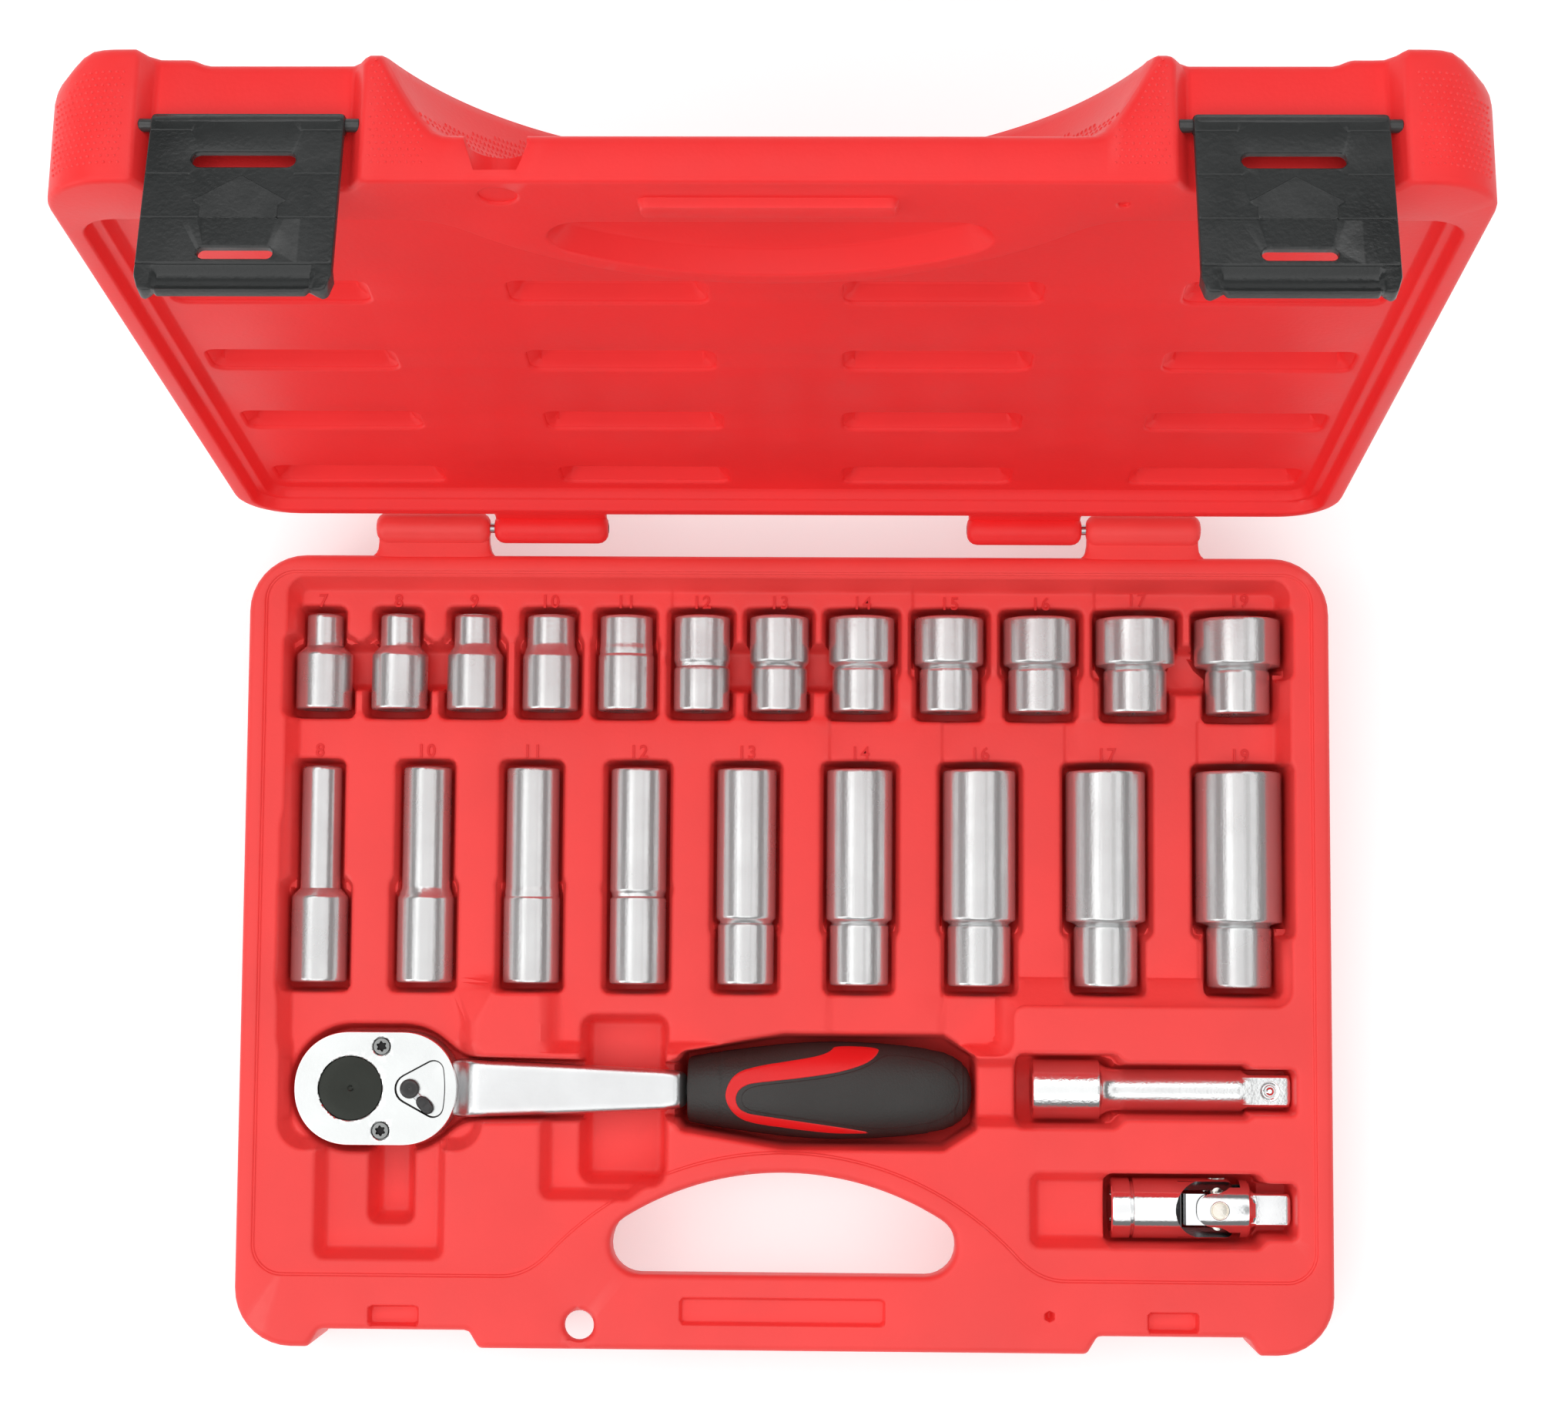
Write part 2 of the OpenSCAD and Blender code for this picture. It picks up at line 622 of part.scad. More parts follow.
// ---------------------------------------------------------------- sockets
// A socket along +Y: square hole at its start, hexagon at its far end
module socket_body(s, l, deep) {
    ro = hex_od(s) / 2;
    rc = collar_od(s) / 2;
    c = collar_len(s, deep);
    t = cone_len(s);
    lip = 0.5;
    bore_r = min(s / 2 - 0.3, drive_sq / 2 - 0.2);
    hex_l = deep ? l - drive_depth - 8 : l - drive_depth - 4;
    waist = min(ro, rc) - 0.5;
    difference() {
        rotate([-90, 0, 0]) rotate_extrude() polygon([[0, 0], [rc - lip, 0], [rc, lip],
            [rc, c - lip], [rc - lip, c], [waist, c + t * 0.5], [ro, c + t],
            [ro, l - lip], [ro - lip, l], [0, l]]);
        translate([-drive_sq / 2 - 0.05, -e, -drive_sq / 2 - 0.05])
            cube([drive_sq + 0.1, drive_depth + e, drive_sq + 0.1]);
        y_cyl(bore_r, l);
        translate([0, l - hex_l, 0]) rotate([-90, 0, 0])
            cylinder(r = (s / 2 + 0.05) / cos(30), h = hex_l + e, $fn = 6);
    }
}

module short_socket(i) {
    s = short_sizes[i];
    color(CHROME) translate([row_x(short_sizes, i, row_edge), short_y, base_h - axis_drop(s)])
        socket_body(s, short_l, false);
}

module deep_socket(i) {
    s = deep_sizes[i];
    color(CHROME) translate([row_x(deep_sizes, i, row_edge), deep_y, base_h - axis_drop(s)])
        socket_body(s, deep_l, true);
}

// ---------------------------------------------------------------- ratchet
module head_plan(r) {
    circle(r);
    translate([head_run, 0]) circle(r);
    translate([0, -r]) square([head_run, 2 * r]);
}

function gear_points(tip, root, n) = [for (i = [0 : 2 * n - 1])
    let (a = i * 180 / n, r = i % 2 == 0 ? tip : root) [r * cos(a), r * sin(a)]];

module ratchet_body() {
    color(CHROME) difference() {
        union() {
            translate([head_x, ratchet_y, head_floor])
                linear_extrude(head_h - cover_t) head_plan(head_w / 2);
            translate([0, ratchet_y, shank_z - shank_t[0] / 2]) linear_extrude(shank_t[0])
                polygon([[head_x + head_run + 10, -shank_hw[0]], [shank_x, -shank_hw[0]],
                    [shank_end, -shank_hw[1]], [shank_end, shank_hw[1]],
                    [shank_x, shank_hw[0]], [head_x + head_run + 10, shank_hw[0]]]);
            translate([shank_end - e, ratchet_y, grip_z]) x_cyl(tang_r, tang_l + e);
        }
        translate([head_x, ratchet_y, head_floor + gear_lift])
            cylinder(r = gear_r + 0.4, h = head_h);
        translate([head_x, ratchet_y, head_floor - e]) cylinder(r = gear_low_r + run_gap, h = 6);
        // chamber of the pawl
        translate([0, 0, head_floor + gear_lift]) linear_extrude(head_h)
            translate([lever_x, ratchet_y]) pawl_chamber();
        translate([lever_x, ratchet_y, head_floor + 0.8])
            cylinder(r = lever_shaft_r + run_gap, h = 4);
        translate([lever_x + 4, ratchet_y, pawl_z0 + pawl_t / 2]) x_cyl(1.3, 7);
        for (s = [-1, 1]) translate([screw_x, ratchet_y + s * screw_y, head_floor + 4])
            cylinder(r = 1.5, h = head_h);
    }
}

module pawl_chamber() {
    circle(5.4);
    polygon([[2, 5.4], [0, 9.6], [-5, 10], [-9, 9.2], [-13, 7],
        [-13, -7], [-9, -9.2], [-5, -10], [0, -9.6], [2, -5.4]]);
}

// Three-cornered recess that the reversing lever swings in
module lever_recess() {
    c = recess_corner;
    a = atan2(c[1], c[0]) + acos((recess_r0 - recess_r1) / norm(c));
    polygon(concat(arc_points([0, 0], recess_r0, a, 360 - a, 12),
        arc_points([c[0], -c[1]], recess_r1, 360 - a, 360, 8),
        arc_points(c, recess_r1, 0, a, 8)));
}

module ratchet_cover() {
    color(CHROME) translate([0, ratchet_y, head_top - cover_t]) difference() {
        translate([head_x, 0, 0]) linear_extrude(cover_t) head_plan(head_w / 2);
        translate([head_x, 0, -e]) cylinder(r = gear_top_r + run_gap, h = cover_t + 2 * e);
        translate([lever_x, 0, -e]) cylinder(r = lever_shaft_r + run_gap, h = cover_t + 2 * e);
        translate([lever_x, 0, cover_t - lever_sunk]) linear_extrude(2) lever_recess();
        for (s = [-1, 1]) translate([screw_x, s * screw_y, -e]) {
            cylinder(r = 1.6, h = cover_t + 2 * e);
            translate([0, 0, e + cover_t - 1.4]) cylinder(r = 2.7, h = 2);
        }
    }
}

module cover_screws() {
    color(STEEL) for (s = [-1, 1]) translate([screw_x, ratchet_y + s * screw_y, head_top])
        difference() {
            union() {
                translate([0, 0, -1.4]) cylinder(r = 2.6, h = 1.3);
                translate([0, 0, -8]) cylinder(r = 1.45, h = 7);
            }
            translate([0, 0, -1]) cylinder(r = 1.3, h = 2, $fn = 6);
        }
}

module drive_gear() {
    z = head_floor + gear_lift + 0.3;
    top = head_top - cover_t - 0.3;
    color(STEEL) translate([head_x, ratchet_y, 0]) difference() {
        union() {
            translate([0, 0, z]) linear_extrude(top - z)
                polygon(gear_points(gear_r, gear_root_r, gear_teeth));
            translate([0, 0, top - e]) cylinder(r = gear_top_r, h = head_top - 0.3 - top + e);
            translate([0, 0, head_floor]) cylinder(r = gear_low_r, h = z - head_floor + e);
            translate([-drive_sq / 2, -drive_sq / 2, head_floor - drive_l])
                cube([drive_sq, drive_sq, drive_l + e]);
        }
        translate([0, 0, head_top - 0.9]) cylinder(r = 1, h = 2);
        translate([0, 0, head_floor - drive_l / 2]) rotate([90, 0, 0]) ball_hole(drive_sq);
    }
}

module drive_ball() {
    color(STEEL) translate([head_x, ratchet_y, head_floor - drive_l / 2]) rotate([90, 0, 0])
        ball(drive_sq);
}

module drive_ball_spring() {
    color(STEEL) translate([head_x, ratchet_y, head_floor - drive_l / 2]) rotate([90, 0, 0])
        ball_spring(drive_sq);
}

// One tooth of the pawl, placed in a gap of the gear at 25 degrees from the line to the pivot
module pawl_tooth() {
    tip = gear_root_r + 0.18;
    base = gear_r + 0.3;
    half = (base - tip) * 1.25;
    translate([-(lever_x - head_x), 0]) rotate(25)
        polygon([[tip, 0], [base, -half], [base + 2.4, -1.9], [base + 2.4, 1.9], [base, half]]);
}

module pawl() {
    color(STEEL) translate([lever_x, ratchet_y, pawl_z0]) rotate([0, 0, -pawl_swing])
        difference() {
            linear_extrude(pawl_t) {
                circle(4.3);
                for (m = [0, 1]) mirror([0, m]) {
                    rotate(-pawl_swing) pawl_tooth();
                    polygon([[0, 0], [1, 4.2], [-3.2, 6.6], [-5.2, 6.4], [-4.6, 2.4]]);
                }
            }
            translate([0, 0, -e]) cylinder(r = lever_shaft_r + run_gap, h = pawl_t + 2 * e);
        }
}

module pawl_detent_ball() {
    color(STEEL) translate([lever_x + 4.3 + 1.3, ratchet_y, pawl_z0 + pawl_t / 2]) sphere(1.25);
}

module pawl_detent_spring() {
    color(STEEL) for (i = [0 : 3])
        translate([lever_x + 7.1 + i * 1.1, ratchet_y, pawl_z0 + pawl_t / 2]) rotate([0, 90, 0])
            rotate_extrude() translate([0.9, 0]) circle(0.22, $fn = 16);
}

// Reversing lever with its finger knob and the shaft that carries the pawl
module reverse_lever() {
    color(STEEL) translate([lever_x, ratchet_y, head_top]) {
        translate([0, 0, 0.1 - lever_sunk]) linear_extrude(lever_sunk) lever_plan(3.4, 2, 1.6);
        translate([0, 0, -0.1]) linear_extrude(0.9) lever_plan(2.8, 1.4, 1.3);
        translate([0, 0, head_floor - head_top + 1])
            cylinder(r = lever_shaft_r, h = head_h - 1.5);
    }
}

module lever_plan(hub_r, arm_hw, knob_r) {
    circle(hub_r);
    rotate(-lever_rest) {
        translate([0, -arm_hw]) square([lever_reach - 0.4, 2 * arm_hw]);
        translate([lever_reach, 0]) circle(knob_r);
    }
}

// Closed solid of the grip, an oval that swells and ends round
module grip_form() {
    sections = [[0, 0.62], [4, 0.74], [34, 1], [grip_l - 16, 0.96], [grip_l - 5, 0.84],
        [grip_l - 1, 0.6]];
    translate([shank_end, ratchet_y, grip_z]) hull() for (s = sections)
        translate([s[0], 0, 0]) scale([1, grip_w / 2, grip_h / 2]) x_cyl(s[1], 1, $fn = 32);
}

module inlay_plan() {
    x0 = shank_end + 7;
    difference() {
        union() {
            translate([x0 + 9, ratchet_y]) circle(9);
            translate([x0 + 9, ratchet_y - 9]) square([grip_l - 32, 18]);
        }
        translate([x0 + 9, ratchet_y]) circle(5.5);
        translate([x0 + 9, ratchet_y - 5.5]) square([grip_l, 11]);
    }
}

module grip_core() {
    color(BLACK) difference() {
        grip_form();
        translate([shank_end - e, ratchet_y, grip_z]) x_cyl(tang_r + run_gap, tang_l + e);
        translate([0, 0, grip_z + 7]) linear_extrude(grip_h) inlay_plan();
    }
}

module grip_inlay() {
    color(RED) intersection() {
        grip_form();
        translate([0, 0, grip_z + 7]) linear_extrude(grip_h) inlay_plan();
    }
}

// ---------------------------------------------------------------- extension
module extension_bar() {
    r = ext_d / 2;
    rs = ext_shank_d / 2;
    c = ext_collar_l;
    body_l = ext_l - ext_drive_l;
    color(CHROME) translate([ext_x, ext_y, ext_z]) difference() {
        union() {
            rotate([90, 0, 90]) rotate_extrude() polygon([[0, 0], [r - 0.6, 0], [r, 0.6],
                [r, c - 0.6], [r - 0.6, c], [rs, c + ext_cone_l], [rs, body_l - 1],
                [rs - 1, body_l], [0, body_l]]);
            translate([body_l - e, -drive_sq / 2, -drive_sq / 2])
                cube([ext_drive_l + e, drive_sq, drive_sq]);
        }
        translate([-e, -drive_sq / 2 - 0.05, -drive_sq / 2 - 0.05])
            cube([drive_depth + e, drive_sq + 0.1, drive_sq + 0.1]);
        translate([ext_l - ext_drive_l / 2, 0, 0]) ball_hole(drive_sq);
    }
}

module extension_ball() {
    color(STEEL) translate([ext_x + ext_l - ext_drive_l / 2, ext_y, ext_z]) ball(drive_sq);
}

module extension_ball_spring() {
    color(STEEL) translate([ext_x + ext_l - ext_drive_l / 2, ext_y, ext_z])
        ball_spring(drive_sq);
}

// ---------------------------------------------------------------- universal joint
// Fork whose arms stand on +Y and -Y and reach towards +X; body_l lies behind the slot
module fork(body_l, slot) {
    difference() {
        translate([-body_l - slot, 0, 0]) x_cyl(uj_r, body_l + slot + uj_arm);
        span([-slot, -uj_gap, -uj_r - e], [uj_arm + e, uj_gap, uj_r + e]);
        for (s = [-1, 1]) span([-slot * 0.55, -uj_r - e, s > 0 ? uj_hw : -uj_r - e],
            [uj_arm + e, uj_r + e, s > 0 ? uj_r + e : -uj_hw]);
        translate([0, -uj_r - e, 0]) y_cyl(uj_pin_r + run_gap, 2 * uj_r + 2 * e);
    }
}

module ujoint_socket() {
    color(CHROME) translate([uj_c, uj_y, uj_z]) difference() {
        fork(uj_c - uj_x - uj_slot_a, uj_slot_a);
        translate([uj_x - uj_c - e, -drive_sq / 2 - 0.05, -drive_sq / 2 - 0.05])
            cube([drive_depth + e, drive_sq + 0.1, drive_sq + 0.1]);
    }
}

module ujoint_drive() {
    hub = uj_l - uj_drive_l - (uj_c - uj_x) - uj_slot_b;
    color(CHROME) translate([uj_c, uj_y, uj_z]) difference() {
        union() {
            rotate([90, 0, 0]) mirror([1, 0, 0]) fork(hub, uj_slot_b);
            translate([uj_slot_b + hub - e, -drive_sq / 2, -drive_sq / 2])
                cube([uj_drive_l + e, drive_sq, drive_sq]);
        }
        translate([uj_slot_b + hub + uj_drive_l / 2, 0, 0]) rotate([180, 0, 0]) ball_hole(drive_sq);
    }
}

module ujoint_block() {
    color(STEEL) translate([uj_c, uj_y, uj_z]) difference() {
        cube(2 * uj_block, center = true);
        translate([0, 0, -uj_block - e])
            cylinder(r = uj_pin_r + run_gap, h = 2 * uj_block + 2 * e);
        translate([0, -uj_block - e, 0]) y_cyl(uj_pin_r + run_gap, 2 * uj_block + 2 * e);
    }
}

module ujoint_pins() {
    reach = uj_r - 0.5;
    color(STEEL) translate([uj_c, uj_y, uj_z]) {
        translate([0, 0, -reach]) cylinder(r = uj_pin_r, h = 2 * reach);
        for (s = [-1, 1]) rotate([0, 0, s * 90]) difference() {
            x_cyl(uj_pin_r, reach);
            translate([0, 0, -uj_r]) cylinder(r = uj_pin_r + run_gap, h = 2 * uj_r);
        }
    }
}

module ujoint_ball() {
    color(STEEL) translate([uj_x + uj_l - uj_drive_l / 2, uj_y, uj_z]) rotate([180, 0, 0])
        ball(drive_sq);
}

module ujoint_ball_spring() {
    color(STEEL) translate([uj_x + uj_l - uj_drive_l / 2, uj_y, uj_z]) rotate([180, 0, 0])
        ball_spring(drive_sq);
}

// ---------------------------------------------------------------- assembly
case_base();
case_lid();
hinge_pin(-1);  // hinge_pin_left
hinge_pin(1);  // hinge_pin_right
latch_at(-1);  // latch_left
latch_at(1);  // latch_right
for (i = [0 : len(SHORT_NODES) - 1])
    short_socket(i);
for (i = [0 : len(DEEP_NODES) - 1])
    deep_socket(i);
ratchet_body();
ratchet_cover();
cover_screws();
drive_gear();
drive_ball();
drive_ball_spring();
pawl();
pawl_detent_ball();
pawl_detent_spring();
reverse_lever();
grip_core();
grip_inlay();
extension_bar();
extension_ball();
extension_ball_spring();
ujoint_socket();
ujoint_block();
ujoint_pins();
ujoint_drive();
ujoint_ball();
ujoint_ball_spring();
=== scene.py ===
import math

import bpy
import numpy as np
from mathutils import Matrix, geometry


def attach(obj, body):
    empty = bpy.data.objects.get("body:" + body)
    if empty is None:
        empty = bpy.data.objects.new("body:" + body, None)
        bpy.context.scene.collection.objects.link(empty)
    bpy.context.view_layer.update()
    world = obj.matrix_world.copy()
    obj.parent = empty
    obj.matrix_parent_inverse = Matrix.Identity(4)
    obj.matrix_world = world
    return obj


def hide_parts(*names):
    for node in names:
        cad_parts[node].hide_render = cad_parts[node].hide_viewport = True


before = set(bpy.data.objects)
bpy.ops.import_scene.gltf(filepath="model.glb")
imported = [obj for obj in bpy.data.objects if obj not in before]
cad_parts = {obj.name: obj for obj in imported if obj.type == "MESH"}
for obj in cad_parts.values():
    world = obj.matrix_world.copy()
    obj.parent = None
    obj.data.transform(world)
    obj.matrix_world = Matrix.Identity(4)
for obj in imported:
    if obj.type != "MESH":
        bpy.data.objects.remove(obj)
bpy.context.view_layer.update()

# ---- measures, in millimetres
MM = 0.001
TAU = 2 * math.pi
CASE_W = 325.0
FRONT, BACK = -118.0, 118.0
RIM = 33.0                                  # height of the base's rim, and depth of each half
BAR = 21.0                                  # height of the outer face under the carrying bar
CORNER = 17.0
LATCH_HW, LATCH_FLARE, LATCH_DEEP = 22.1, 3.2, 5.2      # recess in the front for a latch
CASE_BOX = (-163.0, 163.0, -118.5, 118.5)
HINGE_Y, HINGE_Z = 126.3, 32.0
KNUCKLE_L = 34.5
LID_RIM = 33.3
FOOT = 1.5                                  # the lid's corner feet stand proud by this
LID_OPEN = math.radians(99.55)
LATCH_X, LATCH_Y, LATCH_Z = 115.0, -115.6, 47.8
LATCH_REST = math.radians(8)
ARC_Y = -154.8                              # centre of the handle's arcs
HANG_X, HANG_R = -60.0, 4.3
# Distances from the arcs' centre at which the scoop's slope bends
SCOOP_RHO = [78, 80, 81.5, 83.5, 85.3, 87.1, 89, 90.8, 92.4, 93.6, 94.5, 94.9]
SHORT = [7, 8, 9, 10, 11, 12, 13, 14, 15, 16, 17, 19]
DEEP = [8, 10, 11, 12, 13, 14, 16, 17, 19]
SHORT_L, DEEP_L = 29.0, 65.0
SHORT_Y, DEEP_Y = 71.8, -10.7
ROW_SPLIT = BACK - 48.5                     # between the rows' stepped lands
TRAY_X = 150.5
REST_PAD = (-92, -73, -30.2, -14.0)         # raised place in the tray beside the shank
SQUARE, SQUARE_HOLE = 4.75, 4.8             # half widths of the square drive and its hole
SQUARE_DEEP = 11.5
HEAD_X, TOOL_Y = -129.5, -42.2
HEAD_BOX = (-148, -96, -60, -24)
HEAD_TOP, PLATE_TOP = 27.5, 30.0
LEVER_X = -111.7
SCREW_R = 2.52
GRIP_X0, GRIP_Z = -29.0, 17.8
EXT_X, EXT_Y, EXT_Z, EXT_L = 73.9, -41.2, 20.8, 77.0
EXT_BALL_X = EXT_X + 70.9
UJ_X, UJ_Y, UJ_Z, UJ_L, UJ_C = 97.3, -76.2, 20.6, 53.4, 129.3
CROSSING = (UJ_C, UJ_Y, UJ_Z)               # where the joint's two pins cross
ARM_GAP, SLOT_R = 5.5, 10.95                # between the socket fork's arms
MOUTH_TIP = 13.1                            # from the crossing to the tip of the fork's mouth


# ---- meshes
def linked(name, data):
    """An object of the given data, in the scene."""
    made = bpy.data.objects.new(name, data)
    bpy.context.collection.objects.link(made)
    return made


def new_piece(name, parts, materials, body, stands_for=(), sharp=38):
    """One mesh object from parts, each (points in mm, face index arrays), with the number of its
    material, or one number for each array, where that isn't the first. Corners sharper than the
    given angle stay sharp, the rest is shaded smooth."""
    points, loops, starts, mats = [], [], [], []
    base = corner = 0
    for pts, faces, *mat in parts:
        pts = np.asarray(pts, float)
        mat = mat[0] if mat else 0
        for f, number in zip(faces, mat if isinstance(mat, tuple) else (mat,) * len(faces)):
            f = np.asarray(f, int)
            if not len(f):
                continue
            k = f.shape[1]
            loops.append((f + base).ravel())
            starts.append(corner + k * np.arange(len(f)))
            mats.append(np.full(len(f), number))
            corner += k * len(f)
        points.append(pts)
        base += len(pts)
    points = np.concatenate(points) * MM
    mesh = bpy.data.meshes.new(name)
    mesh.vertices.add(len(points))
    mesh.vertices.foreach_set("co", points.ravel())
    mesh.loops.add(corner)
    mesh.loops.foreach_set("vertex_index", np.concatenate(loops).astype(np.int32))
    starts = np.concatenate(starts)
    mesh.polygons.add(len(starts))
    mesh.polygons.foreach_set("loop_start", starts.astype(np.int32))
    mesh.polygons.foreach_set("material_index", np.concatenate(mats).astype(np.int32))
    mesh.update(calc_edges=True)
    mesh.validate()
    mesh.shade_smooth()
    mesh.set_sharp_from_angle(angle=math.radians(sharp))
    for m in materials:
        mesh.materials.append(m)
    piece = linked(name, mesh)
    if body:
        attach(piece, body)
    if stands_for:
        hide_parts(*stands_for)
    return piece


def grid_faces(rows, cols, closed_rows=False):
    """Quads of a grid of rows by cols points whose columns run round in a circle, and whose rows
    do too where they are closed."""
    i = np.arange(rows if closed_rows else rows - 1)[:, None]
    j = np.arange(cols)[None, :]
    i2, j2 = (i + 1) % rows, (j + 1) % cols
    f = np.stack([i * cols + j, i * cols + j2, i2 * cols + j2, i2 * cols + j], -1)
    return f.reshape(-1, 4)


def fan(start, cols, centre, flip=False):
    """Triangles from one ring of points to its middle point."""
    j = np.arange(cols)
    a, b = start + j, start + (j + 1) % cols
    return np.stack([a, b, np.full(cols, centre)] if flip else [b, a, np.full(cols, centre)], -1)


def outward(points, faces):
    """The same faces, turned round if the closed surface's signed volume is negative."""
    vol = 0.0
    for f in faces:
        a, b = points[f[:, 0]], points[f[:, 1]]
        for k in range(2, f.shape[1]):
            c = points[f[:, k]]
            vol += np.einsum("ij,ij->i", a, np.cross(b, c)).sum()
            b = c
    return faces if vol > 0 else [f[:, ::-1] for f in faces]


def closed_tube(pts, rows, cols):
    """Rings of points joined in turn and closed by a fan at each end."""
    n = rows * cols
    faces = [grid_faces(rows, cols), fan(0, cols, n), fan(n - cols, cols, n + 1, True)]
    pts = np.concatenate([pts, [pts[:cols].mean(0), pts[-cols:].mean(0)]])
    return pts, outward(pts, faces)


def smooth(t):
    """0 below 0, 1 above 1 and 3t2 - 2t3 between."""
    t = np.clip(t, 0, 1)
    return t * t * (3 - 2 * t)


def soft_min(a, b, k):
    """The lower of two fields, with the crease rounded over a width k."""
    h = np.clip(0.5 + 0.5 * (b - a) / k, 0, 1)
    return b + (a - b) * h - k * h * (1 - h)


# ---- signed distances in plan
def constant(value):
    """A field with one value everywhere."""
    return lambda x, y: np.full(np.shape(x), float(value))


def arc_rho(x, y):
    """Distance from the centre of the handle's arcs."""
    return np.hypot(x, y - ARC_Y)


def box_field(x, y, x0, x1, y0, y1, r):
    """Distance to a rectangle with corner radius r, negative inside."""
    qx = np.abs(x - (x0 + x1) / 2) - (x1 - x0) / 2 + r
    qy = np.abs(y - (y0 + y1) / 2) - (y1 - y0) / 2 + r
    out = np.hypot(np.maximum(qx, 0), np.maximum(qy, 0))
    return out + np.minimum(np.maximum(qx, qy), 0) - r


def polygon_field(x, y, pts, r=0.0):
    """Distance to a closed polygon, negative inside, grown by r: the nearest of its sides,
    with the sign from the number of sides that a ray crosses."""
    pts = np.asarray(pts, float)
    best = np.full(np.shape(x), 1e18)
    odd = np.zeros(np.shape(x), bool)
    for (ax, ay), (bx, by) in zip(pts, np.roll(pts, -1, 0)):
        ex, ey = bx - ax, by - ay
        px, py = x - ax, y - ay
        t = np.clip((px * ex + py * ey) / (ex * ex + ey * ey), 0, 1)
        best = np.minimum(best, (px - ex * t) ** 2 + (py - ey * t) ** 2)
        if ay != by:
            odd ^= ((ay > y) != (by > y)) & (px < ex * py / ey)
    d = np.sqrt(best)
    return np.where(odd, -d, d) - r


def contour(field, gx, gy, level):
    """Points and edges of field = level on grid lines gx, gy: one point on each grid side that
    the level crosses, and one edge in each cell between the points on its sides."""
    f = field - level
    s = f > 0
    hx, vx = s[:-1] != s[1:], s[:, :-1] != s[:, 1:]
    hid, vid = np.full(hx.shape, -1), np.full(vx.shape, -1)
    hid[hx] = np.arange(hx.sum())
    vid[vx] = hx.sum() + np.arange(vx.sum())
    i, j = np.nonzero(hx)
    t = f[i, j] / (f[i, j] - f[i + 1, j])
    ph = np.stack([gx[i] + t * (gx[i + 1] - gx[i]), gy[j]], -1)
    i, j = np.nonzero(vx)
    t = f[i, j] / (f[i, j] - f[i, j + 1])
    pv = np.stack([gx[i], gy[j] + t * (gy[j + 1] - gy[j])], -1)
    sides = np.stack([hid[:, :-1], vid[1:], hid[:, 1:], vid[:-1]], -1)
    has = sides >= 0
    n = has.sum(-1)
    pairs = sides[n == 2][has[n == 2]].reshape(-1, 2)
    four = sides[n == 4]
    return np.concatenate([ph, pv]), np.concatenate([pairs, four[:, :2], four[:, 2:]])


def rings_of(field, levels, box, step, keep=None):
    """Contour rings of a field at several levels, each point drawn onto its level by two
    Newton steps along the field's slope. keep(x, y) leaves out the points it calls False."""
    x0, x1, y0, y1 = box
    gx, gy = np.arange(x0, x1 + step, step), np.arange(y0, y1 + step, step)
    values = field(*np.meshgrid(gx, gy, indexing="ij"))
    found = []
    for level in levels:
        p, e = contour(values, gx, gy, level)
        if not len(e):
            continue
        for _ in range(2):
            x, y = p.T
            d, h = field(x, y) - level, 0.02
            sx = (field(x + h, y) - field(x - h, y)) / (2 * h)
            sy = (field(x, y + h) - field(x, y - h)) / (2 * h)
            g = np.maximum(sx * sx + sy * sy, 0.2)
            move = np.clip(np.stack([d * sx / g, d * sy / g], -1), -0.3, 0.3)
            p = p - move
        if keep is not None:
            ok = keep(p[:, 0], p[:, 1])
            e = e[ok[e].all(1)]
        found.append((p, e))
    return found


def lattice(x, y, indexing="xy"):
    """Points where the grid lines x and y cross, one in a row."""
    return np.stack([g.ravel() for g in np.meshgrid(x, y, indexing=indexing)], -1)


def line_rings(x0, y0, x1, y1, step=3.0):
    """A straight constraint line from point to point, as a ring."""
    n = max(2, int(math.hypot(x1 - x0, y1 - y0) / step) + 1)
    p = np.stack([np.linspace(x0, x1, n), np.linspace(y0, y1, n)], -1)
    i = np.arange(n - 1)
    return p, np.stack([i, i + 1], -1)


